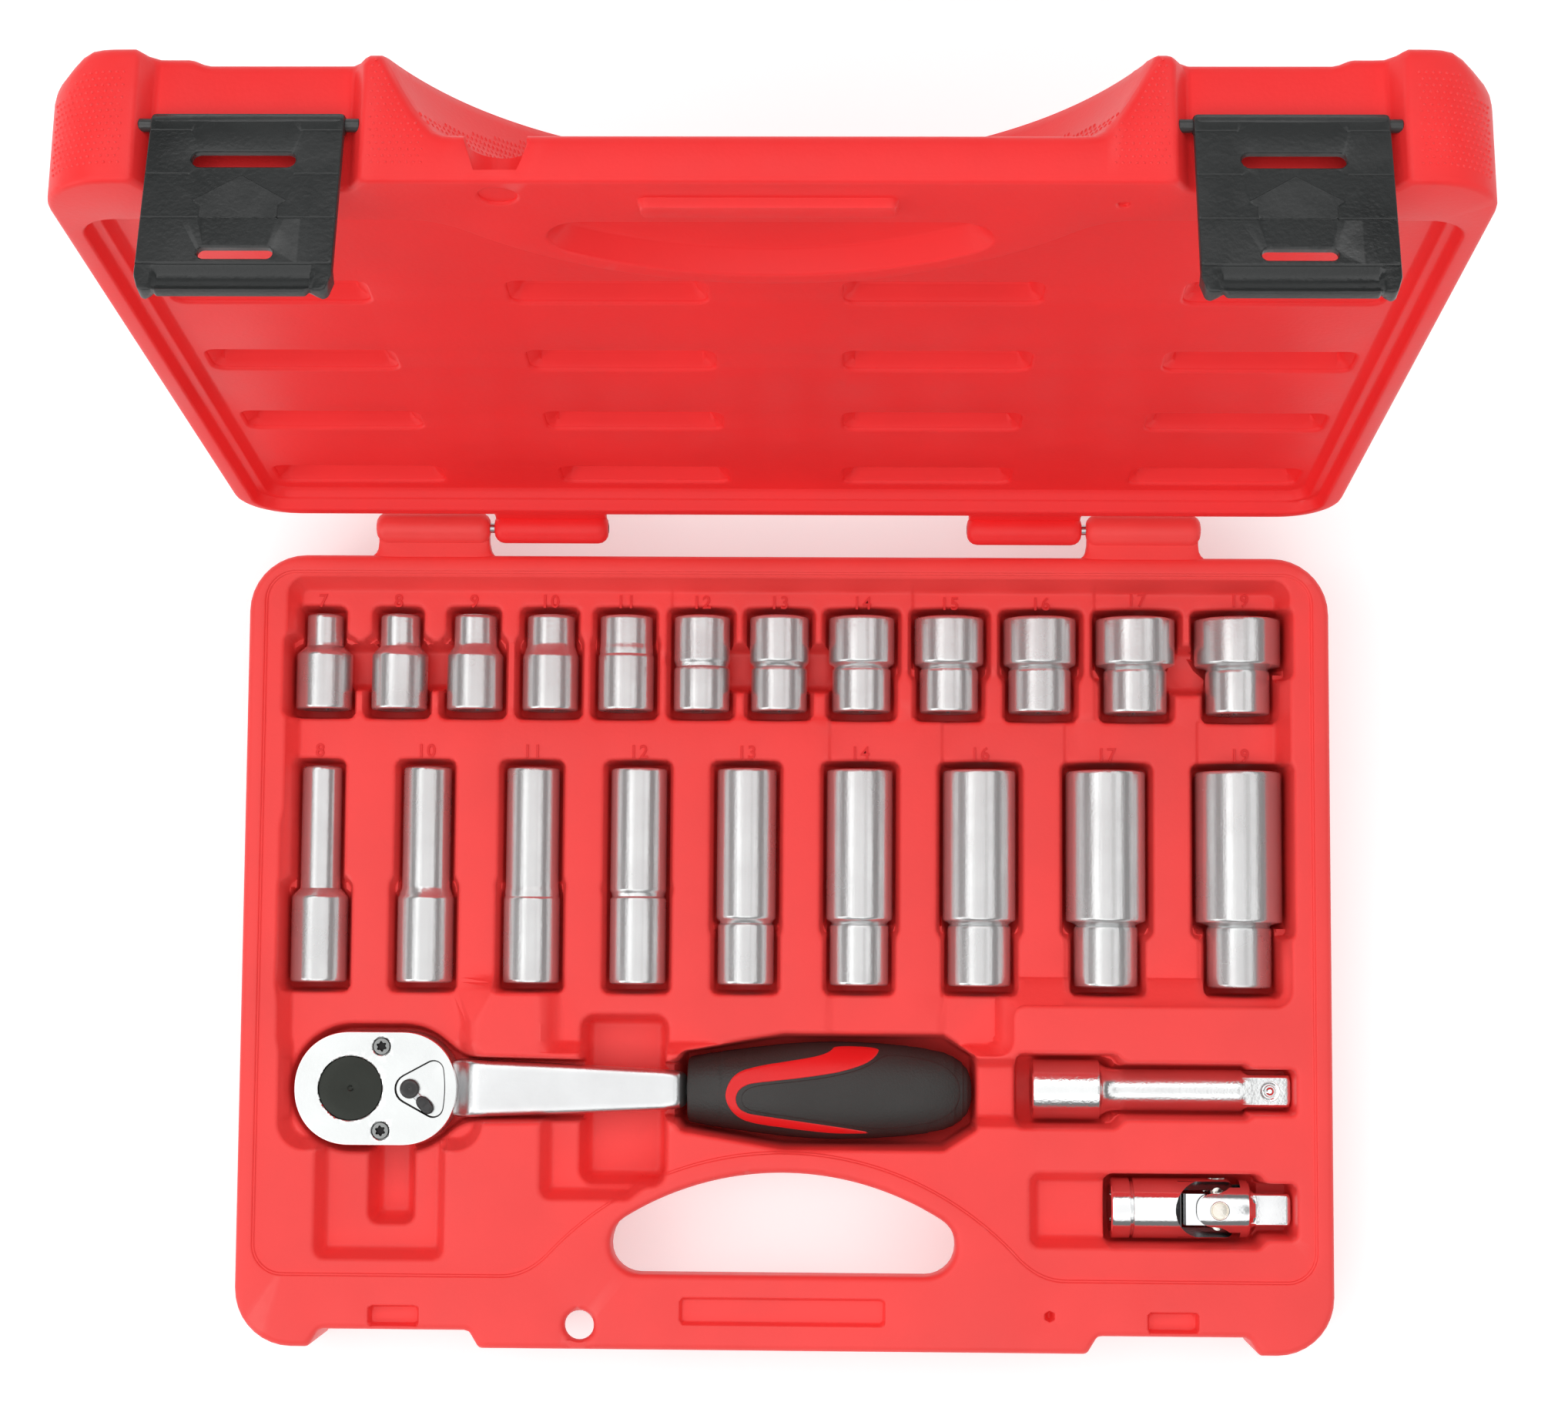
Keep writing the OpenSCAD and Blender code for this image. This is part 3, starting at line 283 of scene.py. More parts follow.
def triangulate(loops, rings, fill):
    """Constrained Delaunay triangles of the area between closed loops of points. Rings are
    kept as edges. Gives points, triangles and the loops' places among the points."""
    pts, edges, base, marks = [], [], 0, []
    for p in loops:
        i = np.arange(len(p))
        pts.append(p)
        edges.append(np.stack([i, (i + 1) % len(p)], -1) + base)
        marks.append(base + i)
        base += len(p)
    for p, e in rings:
        clear = polygon_field(p[:, 0], p[:, 1], loops[0]) < -0.12
        for hole in loops[1:]:
            clear &= polygon_field(p[:, 0], p[:, 1], hole) > 0.12
        e = e[clear[e].all(1)]
        used = np.unique(e)
        if not len(used):
            continue
        place = np.full(len(p), -1)
        place[used] = np.arange(len(used))
        pts.append(p[used])
        edges.append(place[e] + base)
        base += len(used)
    pts.append(fill)
    pts, edges = np.concatenate(pts), np.concatenate(edges)
    edges = edges[edges[:, 0] != edges[:, 1]]
    out, _, tris, origin, _, _ = geometry.delaunay_2d_cdt(
        pts.tolist(), edges.tolist(), [], 0, 1e-4)
    out, tris = np.array(out, float), np.array(tris, int)
    many = np.fromiter(map(len, origin), int)
    whose = np.repeat(np.arange(len(out)), many)
    flat = np.concatenate([np.asarray(o, int) for o in origin if o])
    place = np.full(len(pts), -1)
    place[flat] = whose
    mid = out[tris].mean(1)
    inside = polygon_field(mid[:, 0], mid[:, 1], loops[0]) < 0
    for hole in loops[1:]:
        inside &= polygon_field(mid[:, 0], mid[:, 1], hole) > 0
    tris = tris[inside]
    a, b, c = out[tris[:, 0]], out[tris[:, 1]], out[tris[:, 2]]
    turn = (b[:, 0] - a[:, 0]) * (c[:, 1] - a[:, 1]) - (b[:, 1] - a[:, 1]) * (c[:, 0] - a[:, 0])
    tris[turn < 0] = tris[turn < 0][:, ::-1]
    return out, tris, [place[m] for m in marks]


def closed_sheet(loops, top, bottom, top_rings, bottom_rings, top_fill=None, bottom_fill=None):
    """Closed solid over a plan: its upper side is z = top(x, y), its lower side z = bottom(x, y),
    and its walls join the two along each loop. The first loop runs anticlockwise round the
    outside, holes run clockwise."""
    none = np.zeros((0, 2))
    p, f, marks_t = triangulate(loops, top_rings, none if top_fill is None else top_fill)
    q, g, marks_b = triangulate(loops, bottom_rings, none if bottom_fill is None else bottom_fill)
    up = np.column_stack([p, top(p[:, 0], p[:, 1])])
    low = np.column_stack([q, bottom(q[:, 0], q[:, 1])])
    n = len(up)
    walls = []
    for t, b in zip(marks_t, marks_b):
        b = b + n
        t2, b2 = np.roll(t, -1), np.roll(b, -1)
        walls.append(np.stack([b, b2, t2, t], -1))
    used_points = np.concatenate([up, low])
    faces = [f, g[:, ::-1] + n, np.concatenate(walls)]
    live = np.zeros(len(used_points), bool)
    for k in faces:
        live[k.ravel()] = True
    place = np.cumsum(live) - 1
    return used_points[live], [place[k] for k in faces]


def arc(cx, cy, r, a0, a1, n):
    """n + 1 points of an arc from angle a0 to a1, in degrees."""
    a = np.radians(np.linspace(a0, a1, n + 1))
    return np.stack([cx + r * np.cos(a), cy + r * np.sin(a)], -1)


def circle(cx, cy, r, n, clockwise=False):
    """n points round a circle."""
    p = arc(cx, cy, r, 0, 360, n)[:-1]
    return p[::-1] if clockwise else p


def filleted(corners, n=5, gap=4.0):
    """Closed outline through corners (x, y, r): each corner is cut by a round of radius r that
    touches both of its sides, and long straight runs are divided about every gap."""
    c = np.asarray(corners, float)
    out = []
    for (px, py, _), (x, y, r), (qx, qy, _) in zip(np.roll(c, 1, 0), c, np.roll(c, -1, 0)):
        u, v = np.array([px - x, py - y]), np.array([qx - x, qy - y])
        u, v = u / np.hypot(*u), v / np.hypot(*v)
        half = math.acos(max(-1.0, min(1.0, float(u @ v)))) / 2
        if r <= 0 or half > 1.56:
            out.append([[x, y]])
            continue
        reach = r / math.tan(half)
        mid = np.array([x, y]) + (u + v) / np.hypot(*(u + v)) * r / math.sin(half)
        a = np.array([x, y]) + u * reach - mid
        b = np.array([x, y]) + v * reach - mid
        t = np.linspace(0, 1, n + 1)[:, None]
        w = math.pi - 2 * half
        out.append(mid + (np.sin((1 - t) * w) * a + np.sin(t * w) * b) / math.sin(w))
    p = np.concatenate(out)
    return divided(p, gap)


def divided(p, gap):
    """The same closed outline with long sides cut into equal pieces of about gap."""
    q = np.roll(p, -1, 0)
    n = np.maximum(1, np.round(np.hypot(*(q - p).T) / gap).astype(int))
    first = np.repeat(np.cumsum(n) - n, n)
    t = (np.arange(n.sum()) - first) / np.repeat(n, n)
    return np.repeat(p, n, 0) * (1 - t[:, None]) + np.repeat(q, n, 0) * t[:, None]


def fillet_drop(d, r):
    """How far a rounded edge of radius r lies below its face at distance d from the edge."""
    t = np.clip(1 - d / r, 0, 1)
    return r * (1 - np.sqrt(np.maximum(0, 1 - t * t)))


FILLET = np.array([1.0, 0.62, 0.32, 0.12])


def pocket_levels(rt, rb, w):
    """Ring levels for pocket_drop: both fillets and the wall between."""
    return np.concatenate([rt * FILLET, [0.0, -w], -w - rb * (1 - FILLET[::-1]), [-w - rb]])


def pocket_drop(d, depth, rt, rb, w):
    """Depth of a pocket at signed distance d from its edge: a rounded brow of radius rt
    outside, a wall that leans over a width w, and a rounded foot of radius rb inside."""
    rt = np.minimum(rt, depth * 0.5)
    rb = np.minimum(rb, depth * 0.5)
    rt, rb = np.maximum(rt, 1e-6), np.maximum(rb, 1e-6)
    brow = np.where(d > 0, fillet_drop(d, rt), rt)
    wall = np.clip(-d / w, 0, 1) * (depth - rt - rb)
    foot = rb - fillet_drop(-d - w, rb)
    return brow + wall + np.where(-d > w, foot, 0)


def turned(rows, axis, origin, cols=96, capped=True, phase=0.0):
    """Solid turned about an axis. Each row is (place along the axis, round radius) or (place,
    round radius, flat radius, sides): the radius at angle a is the round radius; where sides > 0
    it is the smaller of that and the flats' distance over cos(a to the flat), and where
    sides < 0 the larger, for holes."""
    rows = np.array([(*row, 0, 0)[:4] for row in rows], float)
    a = np.arange(cols) * TAU / cols
    along, rnd, flat, sides = (rows[:, k:k + 1] for k in range(4))
    m = np.maximum(np.abs(sides), 1)
    local = np.mod(a[None] - phase + math.pi / m, TAU / m) - math.pi / m
    poly = flat / np.maximum(np.cos(local), 0.2)
    r = np.where(sides > 0, np.minimum(rnd, poly), np.where(sides < 0, np.maximum(rnd, poly), rnd))
    u, v = r * np.cos(a), r * np.sin(a)
    w = np.broadcast_to(along, u.shape)
    put = {"x": (w, u, v), "y": (v, w, u), "z": (u, v, w)}[axis]
    pts = np.stack(put, -1).reshape(-1, 3) + np.asarray(origin, float)
    if capped:
        return closed_tube(pts, len(rows), cols)
    return pts, outward(pts, [grid_faces(len(rows), cols, True)])


def lofted(along, half_w, half_h, power, mid_w, mid_h, axis="x", cols=64):
    """Solid along an axis whose cross-section is the superellipse |u/w|^n + |v/h|^n = 1, with
    w, h, n and its middle given at each place. Its two ends are closed by fans."""
    along, half_w, half_h, power, mid_w, mid_h = np.broadcast_arrays(
        *(np.asarray(k, float) for k in (along, half_w, half_h, power, mid_w, mid_h)))
    a = (np.arange(cols) + 0.5) * TAU / cols
    c, s, n = np.cos(a), np.sin(a), power[:, None]
    u = half_w[:, None] * np.sign(c) * np.abs(c) ** (2 / n) + mid_w[:, None]
    v = half_h[:, None] * np.sign(s) * np.abs(s) ** (2 / n) + mid_h[:, None]
    w = np.broadcast_to(along[:, None], u.shape)
    pts = np.stack({"x": (w, u, v), "y": (u, w, v), "z": (u, v, w)}[axis], -1).reshape(-1, 3)
    return closed_tube(pts, len(along), cols)


def domes(places, sizes, height, cols=8):
    """Small raised dots or dashes, each a flattened dome of two rings and a top on a sunk
    closed foot, at the rows of places (origin, across, along, outward unit vectors)."""
    a = np.arange(cols) * TAU / cols
    ring = np.stack([np.cos(a), np.sin(a)], -1)
    rings = [np.c_[ring * k, np.full(cols, z)] for k, z in ((1, -0.4), (0.9, 0.3), (0.55, 0.8))]
    shape = np.concatenate(rings + [[[0, 0, 1.0], [0, 0, -0.4]]])
    o, u, v, w = (k[:, None] for k in places)
    pts = (o + u * shape[:, :1] * sizes[0] + v * shape[:, 1:2] * sizes[1]
           + w * shape[:, 2:] * height)
    k = len(shape)
    base = (np.arange(len(o)) * k)[:, None, None]
    quads = grid_faces(3, cols)
    top, foot = fan(2 * cols, cols, 3 * cols, True), fan(0, cols, 3 * cols + 1)
    faces = [(f[None] + base).reshape(-1, f.shape[1]) for f in (quads, top, foot)]
    pts = pts.reshape(-1, 3)
    return pts, outward(pts, faces)


def read_mesh(holder):
    """Points and triangles of an object as its modifiers or its text leave it."""
    now = holder.evaluated_get(bpy.context.evaluated_depsgraph_get())
    made = now.to_mesh()
    p = np.empty(len(made.vertices) * 3)
    made.vertices.foreach_get("co", p)
    made.calc_loop_triangles()
    f = np.empty(len(made.loop_triangles) * 3, int)
    made.loop_triangles.foreach_get("vertices", f)
    now.to_mesh_clear()
    return p.reshape(-1, 3), [f.reshape(-1, 3)]


# ---- finishes
def feed(tree, n, values):
    """Set a node's inputs; a value that is an output is linked."""
    for key, value in values.items():
        if isinstance(value, bpy.types.NodeSocket):
            tree.links.new(value, n.inputs[key])
        else:
            n.inputs[key].default_value = value


def node(tree, kind, values=None, **settings):
    """A shader node with its settings and input values."""
    n = tree.nodes.new("ShaderNode" + kind)
    for key, value in settings.items():
        setattr(n, key, value)
    feed(tree, n, values or {})
    return n


def maths(tree, operation, a, b):
    """Result of one arithmetic step on two values."""
    return node(tree, "Math", {0: a, 1: b}, operation=operation).outputs[0]


def noise(tree, at, scale, detail):
    """Noise between 0 and 1."""
    return node(tree, "TexNoise", {"Vector": at, "Scale": scale, "Detail": detail}).outputs["Fac"]


def remap(tree, value, low, high, to_low=0.0, to_high=1.0):
    """A value carried over from one range to another, and held inside it."""
    return node(tree, "MapRange", {"Value": value, "From Min": low, "From Max": high,
                                   "To Min": to_low, "To Max": to_high}).outputs[0]


def ramp(tree, source, stops):
    """A colour ramp over source with stops of (place, grey level)."""
    n = node(tree, "ValToRGB", {"Fac": source})
    while len(n.color_ramp.elements) < len(stops):
        n.color_ramp.elements.new(0.5)
    for e, (place, grey) in zip(n.color_ramp.elements, stops):
        e.position = place
        e.color = (grey, grey, grey, 1)
    return n.outputs["Color"]


SKIN = (("Color", "Color"), ("Roughness", "Float"), ("Normal", "Vector"))


def effect(name, inputs, outputs=SKIN):
    """An empty node group with the given sockets, its input node and its output node."""
    tree = bpy.data.node_groups.new(name, "ShaderNodeTree")
    for label, kind, value in inputs:
        s = tree.interface.new_socket(name=label, in_out="INPUT", socket_type="NodeSocket" + kind)
        s.default_value = value
    for label, kind in outputs:
        tree.interface.new_socket(name=label, in_out="OUTPUT", socket_type="NodeSocket" + kind)
    return tree, tree.nodes.new("NodeGroupInput").outputs, tree.nodes.new("NodeGroupOutput")


def make_moulded_grain():
    """Fine moulded pebble: two noises give small bumps, a slow one lightens and darkens the
    colour and the roughness a little."""
    tree, src, out = effect("moulded_grain", [
        ("Color", "Color", (0.8, 0.8, 0.8, 1)), ("Size", "Float", 900.0), ("Height", "Float", 0.1),
        ("Mottle", "Float", 0.08), ("Roughness", "Float", 0.45)])
    at = node(tree, "TexCoord").outputs["Object"]
    fine = noise(tree, at, src["Size"], 3.0)
    swing = remap(tree, noise(tree, at, 26.0, 4.0), 0.3, 0.7, -1.0, 1.0)
    part = maths(tree, "MULTIPLY", swing, src["Mottle"])
    value = maths(tree, "ADD", part, 1.0)
    tint = node(tree, "HueSaturation", {"Color": src["Color"], "Value": value})
    rough = maths(tree, "ADD", part, src["Roughness"])
    bump = node(tree, "Bump", {"Strength": src["Height"], "Distance": 0.0004, "Height": fine})
    feed(tree, out, {"Color": tint.outputs[0], "Roughness": rough, "Normal": bump.outputs[0]})
    return tree


def make_edge_wear():
    """Convex edges, broken up by noise, mix in a lighter colour: part wear, part painted
    highlight.
    """
    tree, src, out = effect("edge_scuff_and_painted_highlight", [
        ("Color", "Color", (0.8, 0.8, 0.8, 1)), ("ScuffHighlight", "Color", (0.9, 0.9, 0.9, 1)),
        ("Amount", "Float", 0.4)], [("Color", "Color")])
    edge = remap(tree, node(tree, "NewGeometry").outputs["Pointiness"], 0.515, 0.62)
    at = node(tree, "TexCoord").outputs["Object"]
    spots = remap(tree, noise(tree, at, 140.0, 4.0), 0.35, 0.6, 0.5)
    mask = maths(tree, "MULTIPLY", maths(tree, "MULTIPLY", edge, spots), src["Amount"])
    mix = node(tree, "MixRGB", {"Fac": mask, "Color1": src["Color"], "Color2": src["ScuffHighlight"]})
    feed(tree, out, {"Color": mix.outputs[0]})
    return tree


def make_plating():
    """Satin plating: a fine noise gives the orange-peel bump, stretched noise gives drawn
    lines along one axis, and a slow noise varies colour and roughness."""
    tree, src, out = effect("plating", [
        ("Color", "Color", (0.8, 0.8, 0.8, 1)), ("Stretch", "Vector", (1.0, 1.0, 1.0)),
        ("Peel", "Float", 0.05), ("Lines", "Float", 0.03), ("Roughness", "Float", 0.15)])
    at = node(tree, "TexCoord").outputs["Object"]
    long = node(tree, "VectorMath", {0: at, 1: src["Stretch"]}, operation="MULTIPLY")
    fine = noise(tree, at, 1300.0, 2.0)
    drawn = noise(tree, long.outputs[0], 900.0, 3.0)
    slow = noise(tree, at, 60.0, 5.0)
    peel = node(tree, "Bump", {"Strength": src["Peel"], "Distance": 0.0003, "Height": fine})
    lines = node(tree, "Bump", {"Strength": src["Lines"], "Distance": 0.0003, "Height": drawn,
                                "Normal": peel.outputs[0]})
    rough = maths(tree, "ADD", remap(tree, slow, 0.3, 0.7, -0.03, 0.05), src["Roughness"])
    dull = remap(tree, slow, 0.35, 0.75, 1.0, 0.88)
    tint = node(tree, "HueSaturation", {"Color": src["Color"], "Value": dull})
    feed(tree, out, {"Color": tint.outputs[0], "Roughness": rough, "Normal": lines.outputs[0]})
    return tree


GRAIN, SCUFF_AND_PAINTED_HIGHLIGHT, PLATING = make_moulded_grain(), make_edge_wear(), make_plating()


def principled(name):
    """A new material, its tree and its shader."""
    m = bpy.data.materials.new(name)
    m.use_nodes = True
    return m, m.node_tree, m.node_tree.nodes["Principled BSDF"]


def skinned(name, group, values, scuff_highlight_colour, scuff_highlight_amount, settings):
    """Colour, roughness and normal from a node group; lighter edges, part wear, part painted
    highlight.
    """
    m, t, shader = principled(name)
    skin = node(t, "Group", values, node_tree=group).outputs
    edge = node(t, "Group", {"Color": skin["Color"], "ScuffHighlight": (*scuff_highlight_colour, 1), "Amount": scuff_highlight_amount},
                node_tree=SCUFF_AND_PAINTED_HIGHLIGHT)
    feed(t, shader, {"Base Color": edge.outputs["Color"], "Roughness": skin["Roughness"],
                     "Normal": skin["Normal"], **settings})
    return m


def plastic(name, colour, scuff_highlight_colour, size=900.0, height=0.1, mottle=0.05, rough=0.42, scuff_highlight_amount=0.35,
            specular=0.5):
    """Moulded plastic with grain and mottle."""
    return skinned(name, GRAIN, {"Color": (*colour, 1), "Size": size, "Height": height,
                                 "Mottle": mottle, "Roughness": rough},
                   scuff_highlight_colour, scuff_highlight_amount, {"Specular IOR Level": specular})


def metal(name, colour, rough=0.12, peel=0.05, lines=0.03, stretch=(1, 1, 1), scuff_highlight_amount=0.0,
          metallic=1.0):
    """Plated or bare steel. The sockets' finish is less than fully metallic, so it scatters some
    light evenly."""
    return skinned(name, PLATING, {"Color": (*colour, 1), "Stretch": stretch, "Peel": peel,
                                   "Lines": lines, "Roughness": rough},
                   (0.95, 0.95, 0.94), scuff_highlight_amount, {"Metallic": metallic})


tray_red = plastic("tray_red", (0.96, 0.068, 0.064), (1.0, 0.17, 0.16), rough=0.42, height=0.12,
                   specular=0.32)
# A deeper red than the tray's for the raised numbers: painted shade round their outlines.
numeral_shade_red = plastic("numeral_shade_red", (0.78, 0.026, 0.025), (0.95, 0.10, 0.10), rough=0.45,
                      specular=0.3)
# The case's red, made deeper for the lid: painted shade for its less lit face.
lid_shade_red = plastic("lid_shade_red", (0.96, 0.027, 0.028), (1.0, 0.17, 0.17), rough=0.42, height=0.12,
                  specular=0.30)
latch_black = plastic("latch_black", (0.013, 0.015, 0.015), (0.12, 0.12, 0.12), rough=0.36,
                      height=0.25, mottle=0.12, scuff_highlight_amount=0.5)
grip_black = plastic("grip_black", (0.024, 0.023, 0.021), (0.10, 0.10, 0.10), rough=0.5,
                     height=0.35, mottle=0.12, size=1500.0, scuff_highlight_amount=0.3)
grip_red = plastic("grip_red", (0.80, 0.012, 0.014), (0.9, 0.1, 0.1), rough=0.40, height=0.1,
                   specular=0.35)
disc_black = metal("disc_black", (0.040, 0.043, 0.038), rough=0.36, peel=0.15, lines=0.1)
lever_black = plastic("lever_black", (0.018, 0.018, 0.019), (0.2, 0.2, 0.2), rough=0.3, scuff_highlight_amount=0.7)
chrome = metal("socket_chrome", (0.66, 0.67, 0.67), rough=0.24, peel=0.12, lines=0.12,
               stretch=(1, 0.04, 1), metallic=0.78)
bright_chrome = metal("bright_chrome", (0.90, 0.905, 0.91), rough=0.07, peel=0.02, lines=0.02)
satin_chrome = metal("satin_chrome", (0.72, 0.73, 0.735), rough=0.30, peel=0.12, lines=0.10,
                     stretch=(0.05, 1, 1), scuff_highlight_amount=0.6)
steel = metal("bare_steel", (0.52, 0.53, 0.54), rough=0.27, peel=0.05, lines=0.08)
plate_chrome = metal("plate_chrome", (0.80, 0.82, 0.815), rough=0.24, peel=0.10, lines=0.10,
                     stretch=(0.6, 0.6, 1), scuff_highlight_amount=0.4)
bar_chrome = metal("bar_chrome", (0.83, 0.84, 0.84), rough=0.19, peel=0.22, lines=0.04,
                   stretch=(0.05, 1, 1))
joint_chrome = metal("joint_chrome", (0.88, 0.885, 0.89), rough=0.09, peel=0.05, lines=0.03)
pin_steel = metal("pin_steel", (0.86, 0.80, 0.70), rough=0.20, peel=0.08, lines=0.05, scuff_highlight_amount=0.5)
screw_grey = metal("screw_grey", (0.30, 0.31, 0.305), rough=0.34, peel=0.15, lines=0.05)
# Black for the cover's leaning recess wall and the screws' star pits: painted shade.
painted_shade_black = metal("painted_shade_black", (0.035, 0.034, 0.034), rough=0.5)
# Dark steel for the floor of the joint's mouth between the fork's arms: painted shade.
recess_shade_steel = metal("recess_shade_steel", (0.16, 0.16, 0.165), rough=0.22)
dark_steel = metal("dark_steel", (0.12, 0.12, 0.12), rough=0.35, peel=0.1, lines=0.1)


# ---- plan of the case
def case_outline():
    """Rounded rectangle with a recess for each latch in its front side, anticlockwise."""
    hx, c = CASE_W / 2, CORNER
    corners = [(-hx, BACK, c), (-hx, FRONT, c)]
    for s in (-1, 1):
        for dx, y in ((-LATCH_HW - LATCH_FLARE, FRONT), (-LATCH_HW, FRONT + LATCH_DEEP),
                      (LATCH_HW, FRONT + LATCH_DEEP), (LATCH_HW + LATCH_FLARE, FRONT)):
            corners.append((s * LATCH_X + dx, y, 2.0))
    corners += [(hx, FRONT, c), (hx, BACK, c)]
    return filleted(corners, n=9, gap=2.4)


def handle_outline():
    """Opening under the carrying bar, clockwise: an arc above, a bar below and two round ends."""
    rho, r, bar = 88.8, 9, 22
    cy = FRONT + bar + r - ARC_Y
    cx = math.sqrt((rho - r) ** 2 - cy * cy)
    a = math.degrees(math.atan2(cy, cx))
    p = np.concatenate([arc(0, ARC_Y, rho, a, 180 - a, 44),
                        arc(-cx, ARC_Y + cy, r, 180 - a, 270, 12)[1:],
                        arc(cx, ARC_Y + cy, r, 270, 360 + a, 12)[:-1]])
    return divided(p, 2.4)[::-1]


OUTLINE, HANDLE = case_outline(), handle_outline()
HANG = circle(HANG_X, FRONT + 7, HANG_R, 28, True)


def edge_field(loops):
    """Distance inwards from the nearest of several outlines."""
    def field(x, y):
        d = -polygon_field(x, y, loops[0])
        for hole in loops[1:]:
            d = np.minimum(d, np.abs(polygon_field(x, y, hole)))
        return d
    return field


def border_field(x, y):
    """Edge of the flat rim: a rectangle with corner radius 9, less the round zone over the
    carrying bar, with the meeting corners rounded."""
    d = box_field(x, y, -157.4, 157.4, -97, 113, 9)
    return -soft_min(-d, arc_rho(x, y) - 94.6, 7)


def scoop(rho, bar):
    """Height of the outer face under the carrying bar at distance rho from the arcs' centre."""
    return np.interp(rho, [0, 78, 81.5, 83.5, 87.1, 90.8, 93.2, 94.8],
                     [bar, bar, bar * 0.99, bar * 0.94, bar * 0.71, bar * 0.38, bar * 0.13, 0])


def row_x(sizes):
    """Middle of each socket in a row that fills the tray's width with equal gaps."""
    w = np.array([max(hex_od(s), collar_od(s)) for s in sizes])
    gap = (2 * TRAY_X - 1.2 - w.sum()) / (len(w) - 1)
    return -TRAY_X + 0.6 + np.cumsum(w) - w / 2 + gap * np.arange(len(w))


def hex_od(s):
    """Width of the hexagon end of a socket of size s."""
    return s + (4 if s <= 9 else 4.5 if s <= 10 else 5 if s <= 13 else 6 if s <= 16 else 7)


def collar_od(s):
    """Width of its drive end."""
    return 17.0 if s <= 13 else 17.8 if s <= 15 else 17 + s / 8


def axis_drop(s):
    """How far its axis lies below the rim."""
    return 13 + max(0.0, max(hex_od(s), collar_od(s)) - 18) * 0.3


def collar_len(s, deep):
    """Length of its drive end."""
    return (26 if s <= 12 else 18.2) if deep else (17.2 if s <= 11 else 13.3)


def cone_len(s):
    """Length of the cone between its two ends."""
    return 2.6 if s <= 11 else 1.6


SHORT_X, DEEP_X = row_x(SHORT), row_x(DEEP)


# ---- tray
SHORT_STEPS = ((-35, 0.6), (38, 0.8), (93, 0.8))        # place and height
DEEP_STEPS = (13, 47, 84, 124)


def land_depth(x, y):
    """Depth of the stepped lands below the rim: steps between groups of sockets in each row."""
    step_at = lambda t: smooth(t / 1.4 + 0.5)
    first = sum((height * step_at(x - at) for at, height in SHORT_STEPS), 8)
    second = 8 + 0.8 * sum(step_at(x - at) for at in DEEP_STEPS)
    return second + (first - second) * step_at(y - ROW_SPLIT)


def land_field(x, y):
    """Sunk socket area, with its left part carried on beside the grip."""
    main = box_field(x, y, -150.6, 150.6, -16, 111.2, 5)
    left = box_field(x, y, -150.6, 68, -31, 40, 5)
    head = box_field(x, y, -150.6, -90, -60, 0, 8)
    return soft_min(soft_min(main, left, 4), head, 3)


def land_wall(x, y):
    """Width that the land's side wall leans over: 2.4, or 7.4 along the front of its right
    part."""
    return 2.4 + 5.0 * smooth((x - 60) / 8) * smooth((4 - y) / 10)


def socket_field(xs, sizes, y0, length, deep):
    """Pockets of one row: a box round each socket's drive end and one round its hexagon end."""
    def field(x, y):
        d = np.full(np.shape(x), 1e9)
        for cx, s in zip(xs, sizes):
            c = collar_len(s, deep) + cone_len(s)
            turn = y0 + (collar_len(s, deep) - 1.5 if hex_od(s) > collar_od(s) else c + 0.5)
            rc, rh = collar_od(s) / 2 + 1.9, hex_od(s) / 2 + 1.9
            d1 = box_field(x, y, cx - rc, cx + rc, y0 - 2.9, turn + (2 if rc >= rh else -1), 2.4)
            d2 = box_field(x, y, cx - rh, cx + rh, turn - (1 if rc >= rh else 2),
                           y0 + length + 2.4, 2.4)
            d = np.minimum(d, soft_min(d1, d2, 2.0))
        return d
    return field


def socket_floor(xs, sizes, y0, deep):
    """Depth of the cradles: below each axis the floor is an ellipse a little wider than the
    socket, along its drive end and its hexagon end in turn."""
    table = np.array([(axis_drop(s), collar_od(s) / 2, hex_od(s) / 2, collar_len(s, deep),
                       cone_len(s)) for s in sizes])

    def depth(x, y):
        k = np.abs(np.asarray(x)[..., None] - xs).argmin(-1)
        ax, rc, rh, c, t = np.moveaxis(table[k], -1, 0)
        blend = smooth((y - y0 - c + 0.6 * (rh > rc)) / np.maximum(t, 1))
        r = rc + (rh - rc) * blend
        dx = (x - xs[k]) / (r + 1.0)
        return ax + np.sqrt(np.maximum(0, 1 - dx * dx)) * (r + 0.3)
    return depth


def finger_field(x, y):
    """Three finger channels across the short sockets."""
    return np.minimum.reduce([box_field(x, y, SHORT_X[a], SHORT_X[b], 77.6, 92.4, 3)
                              for a, b in ((0, 2), (5, 7), (10, 11))])


def ratchet_field(x, y):
    """Pocket of the ratchet: a round-ended head, a tapering shank and a swelling grip."""
    yy = y - TOOL_Y
    head = np.hypot(np.maximum(np.abs(x + 121.95) - 7.55, 0), yy) - 19.0
    shank = polygon_field(x, yy, [(-118, -10.2), (-98, -9.9), (-27, -8.8), (-27, 8.8), (-98, 9.9),
                                  (-118, 10.2)])
    grip = polygon_field(x, yy, [(-29, -10), (0, -15), (47, -15), (55.5, -9.6), (55.5, 9.6),
                                 (47, 15), (0, 15), (-29, 10)], 1.9)
    return soft_min(soft_min(head, shank, 5), grip, 4)


